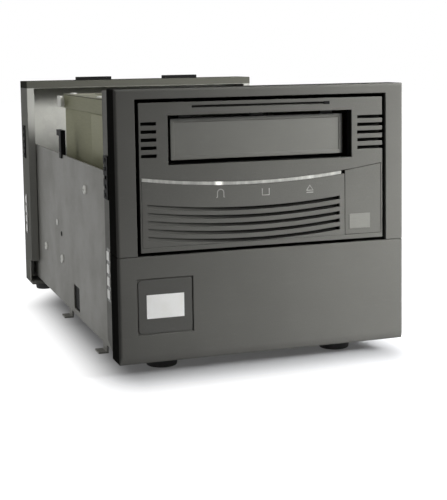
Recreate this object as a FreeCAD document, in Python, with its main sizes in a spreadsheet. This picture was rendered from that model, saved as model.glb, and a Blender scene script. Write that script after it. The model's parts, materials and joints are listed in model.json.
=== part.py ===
# Rack tape drive: a cartridge tape drive in an open sheet-metal chassis.
# Millimetres, +Z up, front towards -Y. The origin is on the floor, under the middle of the whole.
import FreeCAD, Part
import math
import os
import Sketcher

from FreeCAD import Placement, Rotation, Vector

DOC = FreeCAD.newDocument("RackTapeDrive")
SHEET = DOC.addObject("Spreadsheet::Sheet", "Sizes")

# Driving sizes: alias, number, words
SIZES = (
    # Whole object
    ("depth", 306.0, "front face to the rearmost screw"),
    ("stile_width", 11.3, "front moulding beside the drive bezel's gap"),
    ("panel_height", 153.0, "front mouldings, bottom to top"),
    ("foot_height", 9.0, "floor to the underside of the front"),
    ("sheet", 1.2, "chassis sheet metal"),
    ("cut_over", 1.0, "how far a cutter passes a face"),
    ("fit", 0.1, "gap between pieces that seat in each other"),
    ("turn_fit", 0.06, "radial gap of a running shaft"),
    # Front mouldings
    ("front_depth", 18.5, "front mouldings, front to back"),
    ("panel_wall", 2.5, "wall of the front mouldings"),
    ("front_round", 1.8, "rounding of the front's outer edges"),
    ("top_rim", 7.7, "front moulding over the drive bezel"),
    ("seam_gap", 0.3, "seam between the two mouldings"),
    ("lip_height", 5.0, "height of the chamfer along the bottom"),
    ("lip_depth", 2.0, "depth of the chamfer along the bottom"),
    ("rib", 1.6, "ribs behind the lower panel"),
    ("badge_width", 32.3, "square recess, width"),
    ("badge_height", 31.4, "square recess, height"),
    ("badge_recess", 1.0, "square recess, depth"),
    ("badge_left", 10.5, "square recess from the panel's left edge"),
    ("badge_lift", 1.95, "square recess's middle above the lower panel's middle"),
    ("badge_gap", 0.6, "groove round the square plate"),
    ("badge_plate", 0.7, "square plate, thickness"),
    ("badge_round", 2.0, "square plate, corner radius"),
    ("label_width", 21.7, "white label, width"),
    ("label_height", 13.4, "white label, height"),
    ("label_sheet", 0.25, "white label, thickness"),
    # Drive bezel
    ("bezel_width", 147.4, "drive bezel, width"),
    ("bezel_height", 83.0, "drive bezel, height"),
    ("bezel_depth", 15.0, "drive bezel, front to back"),
    ("bezel_gap", 2.0, "gap round the drive bezel"),
    ("bezel_recess", 0.4, "drive bezel behind the front face"),
    ("bezel_wall", 2.5, "drive bezel, side walls"),
    ("bezel_face", 6.5, "drive bezel, front wall"),
    ("bezel_rim", 1.0, "rim beside the insert"),
    ("slot_offset", -1.5, "slot's middle from the centre line"),
    ("slot_drop", 7.3, "slot's upper edge below the bezel's top"),
    ("slot_side", 2.6, "slot's play beside a cartridge"),
    ("slot_play", 1.05, "slot's play over and under a cartridge"),
    ("tunnel_wall", 2.0, "wall round the slot"),
    ("tunnel_depth", 7.0, "depth of the wall round the slot"),
    ("vent_count", 5, "vents on each side, also curved grooves"),
    ("vent_pitch", 4.45, "vent to vent"),
    ("vent_height", 1.8, "vent, height"),
    ("vent_depth", 4.0, "vent, depth"),
    ("vent_drop", 30.3, "lowest vent below the bezel's top"),
    ("vent_edge", 1.2, "left vents from the bezel's left edge"),
    ("vent_left", 10.0, "left vents' inner end from the bezel's left edge"),
    ("vent_right", 16.0, "right vents, length"),
    ("slit_width", 83.0, "thin groove over the slot, length"),
    ("slit_height", 1.2, "thin groove over the slot, height"),
    ("slit_depth", 1.5, "thin groove over the slot, depth"),
    ("slit_drop", 2.7, "thin groove below the bezel's top"),
    ("insert_depth", 4.0, "insert, thickness"),
    ("insert_rise", 2.7, "insert above the bezel's bottom"),
    ("arc_radius", 480.0, "radius of the curved lines"),
    ("arc_side", -8.0, "lowest point of the curves from the centre line"),
    ("arc_drop", 11.8, "light bar's lowest point below the slot"),
    ("arc_reach", 9.0, "room over the light bar's lowest point"),
    ("bar_height", 2.0, "light bar, height"),
    ("bar_end", 2.1, "light bar's right end before the insert's"),
    ("groove_drop", 14.6, "first groove under the light bar"),
    ("groove_height", 2.0, "curved groove, height"),
    ("groove_deep", 3.2, "curved groove, depth at its right end"),
    ("groove_shallow", 0.8, "curved groove, depth at its left end"),
    ("groove_end", 3.2, "insert's edge beside the grooves"),
    ("button_width", 22.8, "eject button, width"),
    ("button_gap", 0.25, "gap round the eject button"),
    ("button_plate", 2.2, "eject button, thickness"),
    ("button_travel", 1.5, "eject button, travel"),
    ("stem_radius", 1.8, "eject button's guide stems"),
    ("stem_spread", 8.0, "guide stem above or below the button's middle"),
    ("stem_length", 4.4, "guide stem, length"),
    ("name_width", 13.3, "bare plate on the button, width"),
    ("name_height", 8.7, "bare plate on the button, height"),
    ("name_rise", 3.2, "bare plate above the button's bottom"),
    ("name_side", 2.5, "bare plate from the button's left edge"),
    ("name_sheet", 0.3, "bare plate, thickness"),
    # Indicator board behind the bezel
    ("board_sheet", 1.6, "circuit boards, thickness"),
    ("post_length", 4.5, "posts that carry the indicator board"),
    ("post_radius", 2.5, "posts that carry the indicator board"),
    ("indicator_left", -44.0, "indicator board's left end"),
    ("switch_size", 7.0, "eject switch, width and height"),
    ("switch_depth", 2.6, "eject switch, depth"),
    ("plunger_radius", 1.5, "tip of the stem that works the switch"),
    ("plunger_length", 2.6, "tip of the stem, length"),
    ("led_radius", 1.5, "indicator lamps"),
    ("led_gap", 0.3, "free room in front of and round a lamp"),
    ("led_pitch", 27.9, "lamp to lamp"),
    # Cartridge door
    ("door_gap", 3.1, "gap at the door's ends"),
    ("door_play", 2.0, "gap above and below the door"),
    ("door_lead", 2.0, "door's plate before its hinge line"),
    ("door_sheet", 2.4, "door, thickness"),
    ("door_border", 2.2, "raised border of the door"),
    ("door_sink", 0.5, "door's middle behind its border"),
    ("pivot_rise", 2.5, "hinge line above the slot"),
    ("pivot_clear", 0.4, "knuckle behind the slot's wall"),
    ("knuckle_radius", 1.9, "door knuckles"),
    ("knuckle_width", 8.0, "door knuckles, width"),
    ("knuckle_pitch", 43.0, "knuckle to knuckle"),
    ("pin_radius", 1.0, "hinge pin"),
    ("ear_width", 3.0, "ears that hold the pin"),
    ("ear_reach", 3.0, "ear round the pin"),
    ("spring_length", 6.0, "door spring's coil, length"),
    ("spring_wire", 0.5, "door spring's wire"),
    # Cartridge bay
    ("cartridge_width", 105.8, "standard cartridge, width"),
    ("cartridge_height", 25.4, "standard cartridge, height"),
    ("cartridge_length", 105.4, "standard cartridge, length"),
    ("bay_play", 1.0, "receiver's play beside a cartridge"),
    ("bay_wall", 1.5, "receiver's sheet"),
    ("bay_end", 3.0, "receiver past the cartridge's end"),
    ("bay_start", 0.6, "receiver behind the bezel"),
    ("bay_step", 0.5, "receiver's floor above the slot's edge"),
    ("guide_height", 22.0, "receiver's sides above its floor"),
    # Drive body
    ("drive_side", 0.7, "drive inside the bezel's outline, at each side"),
    ("drive_clear", 0.25, "drive inside the bezel's outline, above and below"),
    ("path_room", 2.0, "guide rollers behind the receiver"),
    ("drive_wall", 3.0, "drive casting, walls"),
    ("cover_sheet", 1.0, "drive's covers"),
    ("cover_flange", 10.0, "drive cover's turned-down edge"),
    ("deck_drop", 7.0, "deck under the receiver's floor"),
    ("deck_sheet", 3.5, "deck, thickness"),
    ("motor_radius", 24.0, "reel motors"),
    ("motor_height", 16.0, "reel motors, height"),
    ("shaft_radius", 3.0, "reel shafts"),
    ("shaft_sink", 12.0, "reel shafts, depth in the motor"),
    ("shaft_room", 2.0, "free room round a shaft in the deck"),
    ("hub_radius", 18.0, "supply hub"),
    ("hub_gap", 1.0, "supply hub over the deck"),
    ("hub_height", 4.0, "supply hub, height"),
    ("hub_room", 2.0, "free room round the hub"),
    ("tooth_height", 0.9, "hub teeth, height"),
    ("tooth_width", 1.8, "hub teeth, width"),
    ("tooth_length", 4.0, "hub teeth, length"),
    ("tooth_count", 16, "hub teeth"),
    ("reel_radius", 34.5, "take-up reel's flanges"),
    ("reel_core", 16.0, "take-up reel's core"),
    ("reel_flange", 1.6, "take-up reel's flange, thickness"),
    ("reel_height", 17.0, "take-up reel, height"),
    ("reel_gap", 5.0, "take-up reel over the deck"),
    ("reel_side", -18.0, "take-up reel from the centre line"),
    ("reel_back", 3.0, "take-up reel from the rear wall"),
    ("roller_radius", 4.5, "guide rollers"),
    ("roller_height", 16.0, "guide rollers, height"),
    ("roller_rise", 8.0, "guide rollers over the deck"),
    ("roller_orbit", 3.0, "guide rollers from the take-up reel's edge"),
    ("roller_pin", 1.5, "guide roller pins"),
    ("head_side", 46.0, "head from the centre line"),
    ("head_back", 21.5, "head behind the receiver"),
    ("head_foot", 4.0, "head base, thickness"),
    ("head_width", 28.0, "head base, width"),
    ("head_length", 22.0, "head base, length"),
    ("head_shaft", 2.0, "head shafts"),
    ("head_spread", 9.0, "head shaft from the head's middle"),
    ("head_rise", 30.0, "head shafts over the base"),
    ("head_tie", 2.0, "bridge over the head shafts"),
    ("carriage_depth", 12.0, "head carriage, front to back"),
    ("carriage_height", 13.0, "head carriage, height"),
    ("carriage_rise", 10.0, "head carriage over the base"),
    ("head_face", 6.0, "head block, thickness"),
    ("head_tall", 16.0, "head block, height"),
    ("coil_radius", 6.0, "voice coil"),
    ("coil_wall", 1.0, "voice coil's wall"),
    ("coil_length", 5.0, "voice coil, height"),
    ("magnet_radius", 4.5, "coil's magnet"),
    ("magnet_height", 6.0, "coil's magnet, height"),
    ("board_side", 6.0, "main board from the drive's side"),
    ("board_front", 12.0, "main board behind the bezel"),
    ("standoff", 6.0, "main board's standoffs, height"),
    ("standoff_radius", 3.0, "main board's standoffs"),
    ("standoff_in", 10.0, "standoff from the board's edges"),
    ("chip_size", 22.0, "chips on the main board"),
    ("chip_height", 3.0, "chips, height"),
    ("chip_pitch", 38.0, "chip to chip"),
    ("socket_height", 10.0, "drive's rear sockets, height"),
    ("socket_depth", 18.0, "drive's rear sockets, depth"),
    ("socket_reach", 4.0, "sockets behind the drive"),
    ("socket_room", 0.5, "free room round the sockets"),
    ("data_width", 68.0, "drive's data socket, width"),
    ("data_side", 28.0, "data sockets from the centre line"),
    ("power_width", 22.0, "drive's power socket, width"),
    ("power_side", -46.0, "power socket from the centre line"),
    # Chassis
    ("tray_room", 9.8, "free width between the drive and the tray's walls"),
    ("tray_height", 105.0, "tray's walls above the panel's bottom"),
    ("plate_sheet", 1.5, "front plate, sheet"),
    ("plate_inset", 1.5, "front plate inside the mouldings"),
    ("flange_depth", 18.0, "front plate's turned-back edge"),
    ("flange_lift", 6.2, "rise of the turned-back edge's slanted lower end"),
    ("plate_room", 1.0, "free room round the drive"),
    ("window_back", 122.0, "window's front edge behind the front"),
    ("window_length", 18.0, "window, length"),
    ("window_height", 16.0, "window, height"),
    ("window_rise", 2.4, "window above the tray's floor"),
    ("hook_length", 10.0, "cover hooks, length"),
    ("hook_drop", 5.0, "cover hooks below the tray"),
    ("hook_reach", 5.0, "cover hooks out from the tray"),
    ("hook_front", 46.0, "front hooks behind the front"),
    ("hook_pitch", 102.0, "front hook to rear hook"),
    ("ear_wide", 4.0, "tray's rear ears, width"),
    ("ear_low", 24.0, "tray's rear ears above the floor"),
    ("ear_tall", 60.0, "tray's rear ears, height"),
    ("rail_front", 45.0, "drive rails behind the front"),
    ("rail_length", 150.0, "drive rails, length"),
    ("rail_height", 34.0, "drive rails above the drive's bottom"),
    ("rail_ledge", 8.0, "ledge under the drive"),
    ("rail_sheet", 1.5, "drive rails, sheet"),
    ("spacer_radius", 4.0, "spacers between rail and drive"),
    ("spacer_rise", 26.0, "spacers above the drive's bottom"),
    ("spacer_front", 50.0, "first spacer from the rail's front"),
    ("spacer_pitch", 70.0, "spacer to spacer"),
    ("supply_side", 10.8, "free width between the power supply and the tray's walls"),
    ("supply_clear", 8.15, "free height between the power supply and the drive"),
    ("supply_length", 164.0, "power supply, length"),
    ("supply_front", 26.0, "power supply behind the front"),
    ("supply_slot", 2.0, "power supply's vents, width"),
    ("supply_slot_tall", 26.0, "power supply's vents, height"),
    ("supply_slot_deep", 3.0, "power supply's vents, depth"),
    ("supply_slot_pitch", 5.0, "power supply's vents, pitch"),
    ("supply_slot_count", 9, "power supply's vents"),
    # Rear pan
    ("pan_over", 3.0, "rear pan past the panel's sides"),
    ("pan_drop", 3.0, "rear pan below the panel's bottom"),
    ("pan_depth", 30.0, "rear pan, front to back"),
    ("pan_lip", 5.5, "rear pan's inner lip"),
    ("rear_reach", 6.0, "screws behind the rear pan"),
    ("relief_height", 17.0, "relief in the pan's lower corners"),
    ("relief_depth", 10.0, "relief in the pan's lower corners, depth"),
    ("fan_size", 60.0, "fan, width and height"),
    ("fan_depth", 20.0, "fan, depth"),
    ("fan_bore", 28.5, "fan's opening"),
    ("fan_room", 8.8, "free width between the fan and the tray's wall"),
    ("fan_drop", 45.0, "fan's middle below the pan's top"),
    ("fan_hub", 12.0, "fan's hub"),
    ("fan_tip", 1.2, "gap at the blade tips"),
    ("fan_plate", 2.0, "fan's motor plate and arms"),
    ("fan_gap", 1.0, "gap between rotor and motor plate"),
    ("fan_shaft", 1.5, "fan's shaft"),
    ("blade_sheet", 1.3, "fan blades, thickness"),
    ("blade_chord", 14.0, "fan blades, chord"),
    ("blade_pitch", 40.0, "fan blades, pitch in degrees"),
    ("blade_count", 7, "fan blades"),
    ("guard_wire", 1.6, "fan guard's rings"),
    ("guard_pitch", 8.0, "fan guard, ring to ring"),
    ("guard_count", 3, "fan guard's rings"),
    ("inlet_width", 28.0, "mains inlet's cut-out, width"),
    ("inlet_height", 20.0, "mains inlet's cut-out, height"),
    ("inlet_depth", 20.0, "mains inlet inside the pan"),
    ("inlet_rim", 2.0, "mains inlet's rim"),
    ("inlet_side", -55.0, "mains inlet from the centre line"),
    ("inlet_rise", 22.0, "mains inlet's middle above the panel's bottom"),
    ("inlet_pin", 1.2, "mains inlet's pins, half width"),
    ("inlet_pitch", 7.0, "mains inlet, pin to pin"),
    ("inlet_sink", 5.0, "mains inlet's pins behind the pan's face"),
    ("switch_wide", 14.0, "power switch's cut-out, width"),
    ("switch_tall", 20.0, "power switch's cut-out, height"),
    ("switch_in", 16.0, "power switch inside the pan"),
    ("switch_side", -24.0, "power switch from the centre line"),
    ("rocker_half", 7.0, "rocker, half height"),
    ("rocker_width", 9.6, "rocker, width"),
    ("rocker_in", 4.0, "rocker behind its pivot"),
    ("rocker_out", 4.2, "rocker's ends in front of its pivot"),
    ("rocker_mid", 1.0, "rocker's middle in front of its pivot"),
    ("rocker_room", 1.2, "free room round the rocker"),
    ("rocker_tilt", 8.0, "rocker's tilt at rest, in degrees"),
    ("shell_width", 48.0, "data connector's shell, width"),
    ("shell_height", 10.0, "data connector's shell, height"),
    ("shell_reach", 4.8, "data connector's shell, reach"),
    ("shell_wall", 1.0, "data connector's shell, wall"),
    ("connector_flange", 68.0, "data connector's flange, width"),
    ("connector_tall", 13.0, "data connector's flange, height"),
    ("connector_in", 9.0, "data connector inside the pan"),
    ("connector_drop", 117.0, "lower data connector below the pan's top"),
    ("connector_pitch", 18.0, "data connector to data connector"),
    ("jack_spread", 58.0, "jack screw to jack screw"),
    ("jack_radius", 2.6, "jack screws"),
    ("jack_bore", 1.2, "jack screws' threads"),
    ("id_width", 13.0, "number selector's cut-out, width"),
    ("id_height", 26.0, "number selector's cut-out, height"),
    ("id_depth", 9.0, "number selector inside the pan"),
    ("id_side", -40.0, "number selector from the centre line"),
    ("id_rise", 62.0, "number selector's middle above the panel's bottom"),
    ("id_button_width", 7.0, "selector buttons, width"),
    ("id_button_height", 4.0, "selector buttons, height"),
    ("id_button_reach", 2.0, "selector buttons in front of the face"),
    ("id_button_in", 3.0, "selector buttons in their holes"),
    ("id_button_spread", 8.6, "selector button from the selector's middle"),
    ("id_travel", 1.0, "selector buttons, travel"),
    ("id_button_gap", 0.3, "gap round the selector buttons"),
    ("rim_sheet", 1.5, "rims of the fittings on the rear pan"),
    ("rim_reach", 1.5, "how far a rim laps over the pan"),
    # Cables, strips, feet and screws
    ("ribbon_width", 50.0, "ribbon cable, width"),
    ("ribbon_sheet", 1.2, "ribbon cable, thickness"),
    ("ribbon_run", 18.0, "ribbon cable's straight ends"),
    ("harness_radius", 3.0, "cable bundles"),
    ("harness_rise", 36.0, "power bundle's exit above the tray's floor"),
    ("harness_run", 24.0, "power bundle's loop behind the drive"),
    ("mains_rise", 4.0, "mains bundle's middle above the tray's floor"),
    ("mains_run", 14.0, "mains bundle's straight ends"),
    ("strip_length", 31.0, "contact strips, length"),
    ("strip_width", 8.0, "strips and clips, width"),
    ("strip_sheet", 0.4, "contact strips, thickness"),
    ("bead_reach", 0.5, "contact strips' beads"),
    ("bead_length", 5.2, "contact strips' beads, length"),
    ("bead_pitch", 7.4, "bead to bead"),
    ("bead_count", 4, "beads on a strip"),
    ("strip_rise", 31.0, "contact strips above the panel's bottom"),
    ("clip_rise", 90.0, "side clips above the panel's bottom"),
    ("rear_lift", 4.0, "rear strips and clips above the front ones"),
    ("clip_length", 25.0, "side clips, length"),
    ("clip_sheet", 0.9, "side clips, thickness"),
    ("clip_slot", 2.2, "side clips' slots, height"),
    ("clip_pitch", 5.0, "side clips' slots, pitch"),
    ("clip_count", 5, "side clips' slots"),
    ("tab_length", 27.0, "tabs on the pan's top, length"),
    ("tab_height", 2.5, "tabs on the pan's top, height"),
    ("tab_side", 35.0, "tab's middle from the centre line"),
    ("foot_radius", 10.0, "front feet"),
    ("foot_taper", 1.0, "feet, taper"),
    ("foot_side", 32.0, "front feet in from the front's sides"),
    ("foot_back", 30.0, "front feet behind the front"),
    ("rear_foot_radius", 7.5, "rear feet"),
    ("rear_foot_side", 12.0, "rear feet in from the pan's sides"),
    ("rear_foot_back", 15.0, "rear feet before the pan's back"),
    ("screw_radius", 2.9, "screw heads"),
    ("screw_head", 1.5, "screw heads, height"),
    ("screw_rise", 32.0, "side screws above the panel's bottom"),
    ("screw_back", 176.0, "first side screw behind the front"),
    ("screw_pitch", 61.0, "side screw to side screw"),
)


class Dim:
    """A number together with the sheet expression that gives it."""

    def __init__(self, text, number):
        self.text = text
        self.number = number

    def _with(self, sign, other, result):
        return Dim(f"({self.text} {sign} {other.text})", result)

    def __add__(self, other):
        other = dim(other)
        return self._with("+", other, self.number + other.number)

    def __radd__(self, other):
        return dim(other) + self

    def __sub__(self, other):
        other = dim(other)
        return self._with("-", other, self.number - other.number)

    def __rsub__(self, other):
        return dim(other) - self

    def __mul__(self, other):
        other = dim(other)
        return self._with("*", other, self.number * other.number)

    def __rmul__(self, other):
        return dim(other) * self

    def __truediv__(self, other):
        other = dim(other)
        return self._with("/", other, self.number / other.number)

    def __neg__(self):
        return dim(0) - self


def dim(value):
    """Make a plain number a Dim, and leave a Dim as it is."""
    return value if isinstance(value, Dim) else Dim(f"({float(value)!r})", float(value))


class Sizes:
    """The sheet's sizes by their aliases."""


size = Sizes()
for row, (alias, number, words) in enumerate(SIZES, 1):
    SHEET.set(f"A{row}", words)
    SHEET.set(f"B{row}", str(number))
    SHEET.setAlias(f"B{row}", alias)
    setattr(size, alias, Dim(f"Sizes.{alias}", float(number)))
DOC.recompute()

NODES = []
AXIS_TURN = {
    "x": Rotation(Vector(0, 1, 0), 90),
    "y": Rotation(Vector(1, 0, 0), -90),
    "z": Rotation(),
}
SIDES = (-1, 1)
TOUCH = 1e-4


def node(item):
    """Take a finished object as one of the part's pieces."""
    NODES.append(item)
    return item


def bind(item, prop, value):
    """Tie a property to the sheet."""
    item.setExpression(prop, dim(value).text)


def place(item, at, turn=Rotation()):
    """Put an object at a point tied to the sheet."""
    item.Placement = Placement(Vector(), turn)
    for letter, value in zip("xyz", at):
        bind(item, f"Placement.Base.{letter}", value)
    return item


def box(name, xs, ys, zs):
    """Block between two places along each axis."""
    item = DOC.addObject("Part::Box", name)
    for prop, (low, high) in zip(("Length", "Width", "Height"), (xs, ys, zs)):
        bind(item, prop, high - low)
    return place(item, (xs[0], ys[0], zs[0]))


def rod(name, at, radius, length, axis="z"):
    """Cylinder that starts at a point and runs along an axis."""
    item = DOC.addObject("Part::Cylinder", name)
    bind(item, "Radius", radius)
    bind(item, "Height", length)
    return place(item, at, AXIS_TURN[axis])


def around(middle, width):
    """The two ends of a width that is centred on a place."""
    return (middle - width / 2, middle + width / 2)


def mirrored(side, near, far):
    """The two ends of a span on the left (-1) or right (1), in rising order."""
    return (near, far) if side > 0 else (-far, -near)


def fuse(name, items):
    """Join overlapping or touching solids."""
    item = DOC.addObject("Part::MultiFuse", name)
    item.Shapes = items
    item.Refine = True
    return item


def group(name, items):
    """Keep solids apart in one piece."""
    item = DOC.addObject("Part::Compound", name)
    item.Links = items
    return item


def cut(name, base, tools):
    """Take solids away from a base."""
    item = DOC.addObject("Part::Cut", name)
    item.Base = base
    item.Tool = tools[0] if len(tools) == 1 else fuse(f"{name}_cutters", tools)
    return item


def shared(name, first, second):
    """Keep what two solids have in common."""
    item = DOC.addObject("Part::MultiCommon", name)
    item.Shapes = [first, second]
    return item


def rounded(name, base, radius, chosen):
    """Round the edges of a solid that a test picks."""
    DOC.recompute()
    item = DOC.addObject("Part::Fillet", name)
    item.Base = base
    edges = enumerate(base.Shape.Edges, 1)
    item.Edges = [(index, radius.number, radius.number) for index, edge in edges if chosen(edge)]
    return item


def along(edge, axis):
    """Say whether an edge is straight along an axis, given as x, y or z."""
    ends = [vertex.Point for vertex in edge.Vertexes]
    if len(ends) != 2:
        return False
    run = ends[1] - ends[0]
    others = [abs(getattr(run, letter)) for letter in "xyz" if letter != axis]
    return max(others) < TOUCH


def lies_at(edge, axis, value):
    """Say whether a whole edge lies at one place along an axis."""
    return all(abs(getattr(vertex.Point, axis) - value.number) < TOUCH for vertex in edge.Vertexes)


def solid_body(name):
    """Start a body for sketches and features."""
    return DOC.addObject("PartDesign::Body", name)


def sketch(part, name, plane, level, loops):
    """Sketch closed polygons on one of the body's own planes, moved to a level."""
    item = part.newObject("Sketcher::SketchObject", name)
    support = next(feature for feature in part.Origin.OriginFeatures if feature.Role == f"{plane}_Plane")
    item.AttachmentSupport = (support, [""])
    item.MapMode = "FlatFace"
    bind(item, "AttachmentOffset.Base.z", -level if plane == "XZ" else level)
    for loop in loops:
        draw_loop(item, [(dim(across), dim(up)) for across, up in loop])
    return item


def draw_loop(item, corners):
    """Draw one closed polygon and tie each corner to the sheet."""
    first = item.GeometryCount
    count = len(corners)
    points = [Vector(across.number, up.number, 0) for across, up in corners]
    for index, point in enumerate(points):
        item.addGeometry(Part.LineSegment(point, points[(index + 1) % count]))
    for index in range(count):
        follower = first + (index + 1) % count
        item.addConstraint(Sketcher.Constraint("Coincident", first + index, 2, follower, 1))
    for index, (across, up) in enumerate(corners):
        pin_corner(item, first + index, "DistanceX", across, -2)
        pin_corner(item, first + index, "DistanceY", up, -1)


def pin_corner(item, line, kind, value, axis_line):
    """Hold the start of a line at a distance from the origin, or on an axis where that is nought."""
    if value.number == 0:
        item.addConstraint(Sketcher.Constraint("PointOnObject", line, 1, axis_line))
        return
    index = item.addConstraint(Sketcher.Constraint(kind, -1, 1, line, 1, value.number))
    item.setExpression(f"Constraints[{index}]", value.text)


def rectangle(xs, zs):
    """Corners of a rectangle."""
    return [(xs[0], zs[0]), (xs[1], zs[0]), (xs[1], zs[1]), (xs[0], zs[1])]


def pad(part, profile, length, backwards=False):
    """Push a sketch out into a solid."""
    item = part.newObject("PartDesign::Pad", f"{profile.Name}_pad")
    item.Profile = profile
    item.Reversed = backwards
    bind(item, "Length", length)
    return item


def pocket(part, profile, length, backwards=False):
    """Sink a sketch into the solid."""
    item = part.newObject("PartDesign::Pocket", f"{profile.Name}_pocket")
    item.Profile = profile
    item.Reversed = backwards
    bind(item, "Length", length)
    return item


def fillet(part, name, radius, chosen):
    """Round the edges of a body that a test picks."""
    DOC.recompute()
    base = part.Tip
    edges = enumerate(base.Shape.Edges, 1)
    names = [f"Edge{index}" for index, edge in edges if chosen(edge)]
    item = part.newObject("PartDesign::Fillet", name)
    item.Base = (base, names)
    bind(item, "Radius", radius)
    return item


def turned(name, profile_points, at):
    """Revolve a half profile, given as radius and height, about an upright axis."""
    part = solid_body(name)
    profile = sketch(part, f"{name}_profile", "XZ", dim(0), [profile_points])
    item = part.newObject("PartDesign::Revolution", f"{name}_turn")
    item.Profile = profile
    item.ReferenceAxis = (profile, ["V_Axis"])
    item.Angle = 360
    bind(part, "Placement.Base.x", at[0])
    bind(part, "Placement.Base.y", at[1])
    return part


def tube(name, points, radius):
    """Round cable along straight runs, with an arc at each corner as large as its runs allow."""
    corners = [Vector(*(dim(value).number for value in point)) for point in points]
    edges = []
    start = corners[0]
    for before, corner, after in zip(corners, corners[1:], corners[2:]):
        inward = (before - corner).normalize()
        outward = (after - corner).normalize()
        half_turn = (math.pi - inward.getAngle(outward)) / 2
        setback = TUBE_SHARE * min((before - corner).Length, (after - corner).Length)
        bend = setback / math.tan(half_turn)
        first = corner + inward * setback
        last = corner + outward * setback
        bisector = (inward + outward).normalize()
        middle = corner + bisector * (bend / math.cos(half_turn) - bend)
        edges.append(Part.LineSegment(start, first).toShape())
        edges.append(Part.Arc(first, middle, last).toShape())
        start = last
    edges.append(Part.LineSegment(start, corners[-1]).toShape())
    path = Part.Wire(edges)
    ring = Part.Circle(corners[0], corners[1] - corners[0], radius.number)
    item = DOC.addObject("Part::Feature", name)
    item.Shape = path.makePipeShell([Part.Wire([ring.toShape()])], True, True)
    return item


# Share of the shorter run that an arc takes up at a cable's corner
TUBE_SHARE = 0.45

# Main places, worked out from the driving sizes
FRONT = -size.depth / 2
BACK = size.depth / 2
BASE = size.foot_height
TOP = BASE + size.panel_height
MOULD_BACK = FRONT + size.front_depth
BEZEL_X = size.bezel_width / 2
HALF = BEZEL_X + size.bezel_gap + size.stile_width
BEZEL_FRONT = FRONT + size.bezel_recess
BEZEL_BACK = BEZEL_FRONT + size.bezel_depth
BEZEL_INNER = BEZEL_FRONT + size.bezel_face
BEZEL_TOP = TOP - size.top_rim
BEZEL_LOW = BEZEL_TOP - size.bezel_height
SEAM = BEZEL_LOW - size.bezel_gap
BADGE_LOW = (BASE + SEAM) / 2 + size.badge_lift - size.badge_height / 2
SLOT_X = around(size.slot_offset, size.cartridge_width + size.slot_side * 2)
SLOT_Z = (
    BEZEL_TOP - size.slot_drop - size.cartridge_height - size.slot_play * 2,
    BEZEL_TOP - size.slot_drop,
)
TUNNEL_BACK = BEZEL_FRONT + size.tunnel_depth
PIVOT_Y = TUNNEL_BACK + size.pivot_clear + size.knuckle_radius
PIVOT_Z = SLOT_Z[1] + size.pivot_rise
ARC_LOW = SLOT_Z[0] - size.arc_drop
ARC_CENTRE = ARC_LOW + size.arc_radius
RECESS_LOW = BEZEL_LOW + size.insert_rise
RECESS_X = (-BEZEL_X + size.bezel_rim, BEZEL_X - size.bezel_rim)
RECESS_FLOOR = BEZEL_FRONT + size.insert_depth
BUTTON_END = RECESS_X[1] - size.button_gap
BUTTON_X = (BUTTON_END - size.button_width, BUTTON_END)
BUTTON_LOW = RECESS_LOW + size.button_gap
BUTTON_MID_X = (BUTTON_X[0] + BUTTON_X[1]) / 2
BUTTON_MID_Z = BUTTON_LOW + (ARC_LOW - BUTTON_LOW) / 2
INDICATOR_Y = BEZEL_INNER + size.post_length
DRIVE_X = BEZEL_X - size.drive_side
DRIVE_LOW = BEZEL_LOW + size.drive_clear
DRIVE_TOP = BEZEL_TOP - size.drive_clear
WALL_LOW = DRIVE_LOW + size.cover_sheet
WALL_TOP = DRIVE_TOP - size.cover_sheet
BAY_FLOOR = SLOT_Z[0] + size.bay_step
BAY_Y = (BEZEL_BACK + size.bay_start, BEZEL_BACK + size.bay_start + size.cartridge_length + size.bay_end)
DECK = BAY_FLOOR - size.deck_drop
DECK_LOW = DECK - size.deck_sheet
HUB_Y = BAY_Y[0] + size.cartridge_length / 2
ROLLER_ANGLES = (-130, -60, -10, 25)
ROLLER_LEAD = -math.sin(math.radians(ROLLER_ANGLES[1]))
ROLLER_ORBIT = size.reel_radius + size.roller_radius + size.roller_orbit
REEL_Y = BAY_Y[1] + size.path_room + size.roller_radius + ROLLER_ORBIT * ROLLER_LEAD
DRIVE_REAR = REEL_Y + size.reel_radius + size.reel_back + size.drive_wall
DRIVE_LENGTH = DRIVE_REAR - BEZEL_BACK
HEAD_Y = BAY_Y[1] + size.head_back
HEAD_FLOOR = DECK + size.head_foot
BOARD_LOW = WALL_LOW + size.standoff
BOARD_TOP = BOARD_LOW + size.board_sheet
SOCKET_MID = BOARD_TOP + size.socket_height / 2
PLATE_BACK = MOULD_BACK + size.plate_sheet
PLATE_X = HALF - size.plate_inset
TRAY_IN = DRIVE_X + size.tray_room
TRAY_X = TRAY_IN + size.sheet
FAN_X = TRAY_IN - size.fan_room - size.fan_size / 2
TRAY_LOW = BASE + size.sheet
TRAY_FLOOR = TRAY_LOW + size.sheet
PAN_BACK = BACK - size.rear_reach
PAN_INNER = PAN_BACK - size.sheet
PAN_FRONT = PAN_BACK - size.pan_depth
PAN_X = HALF + size.pan_over
PAN_LOW = BASE - size.pan_drop
PAN_FLOOR = PAN_LOW + size.sheet
SUPPLY_Y = (FRONT + size.supply_front, FRONT + size.supply_front + size.supply_length)
CONNECTOR_BOARD_Y = PAN_INNER - size.connector_in - size.board_sheet
CONNECTOR_MID_Z = TOP - size.connector_drop + size.connector_pitch / 2


def count(value):
    """A whole number of copies from the sheet."""
    return int(round(value.number))


# Front mouldings

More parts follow.
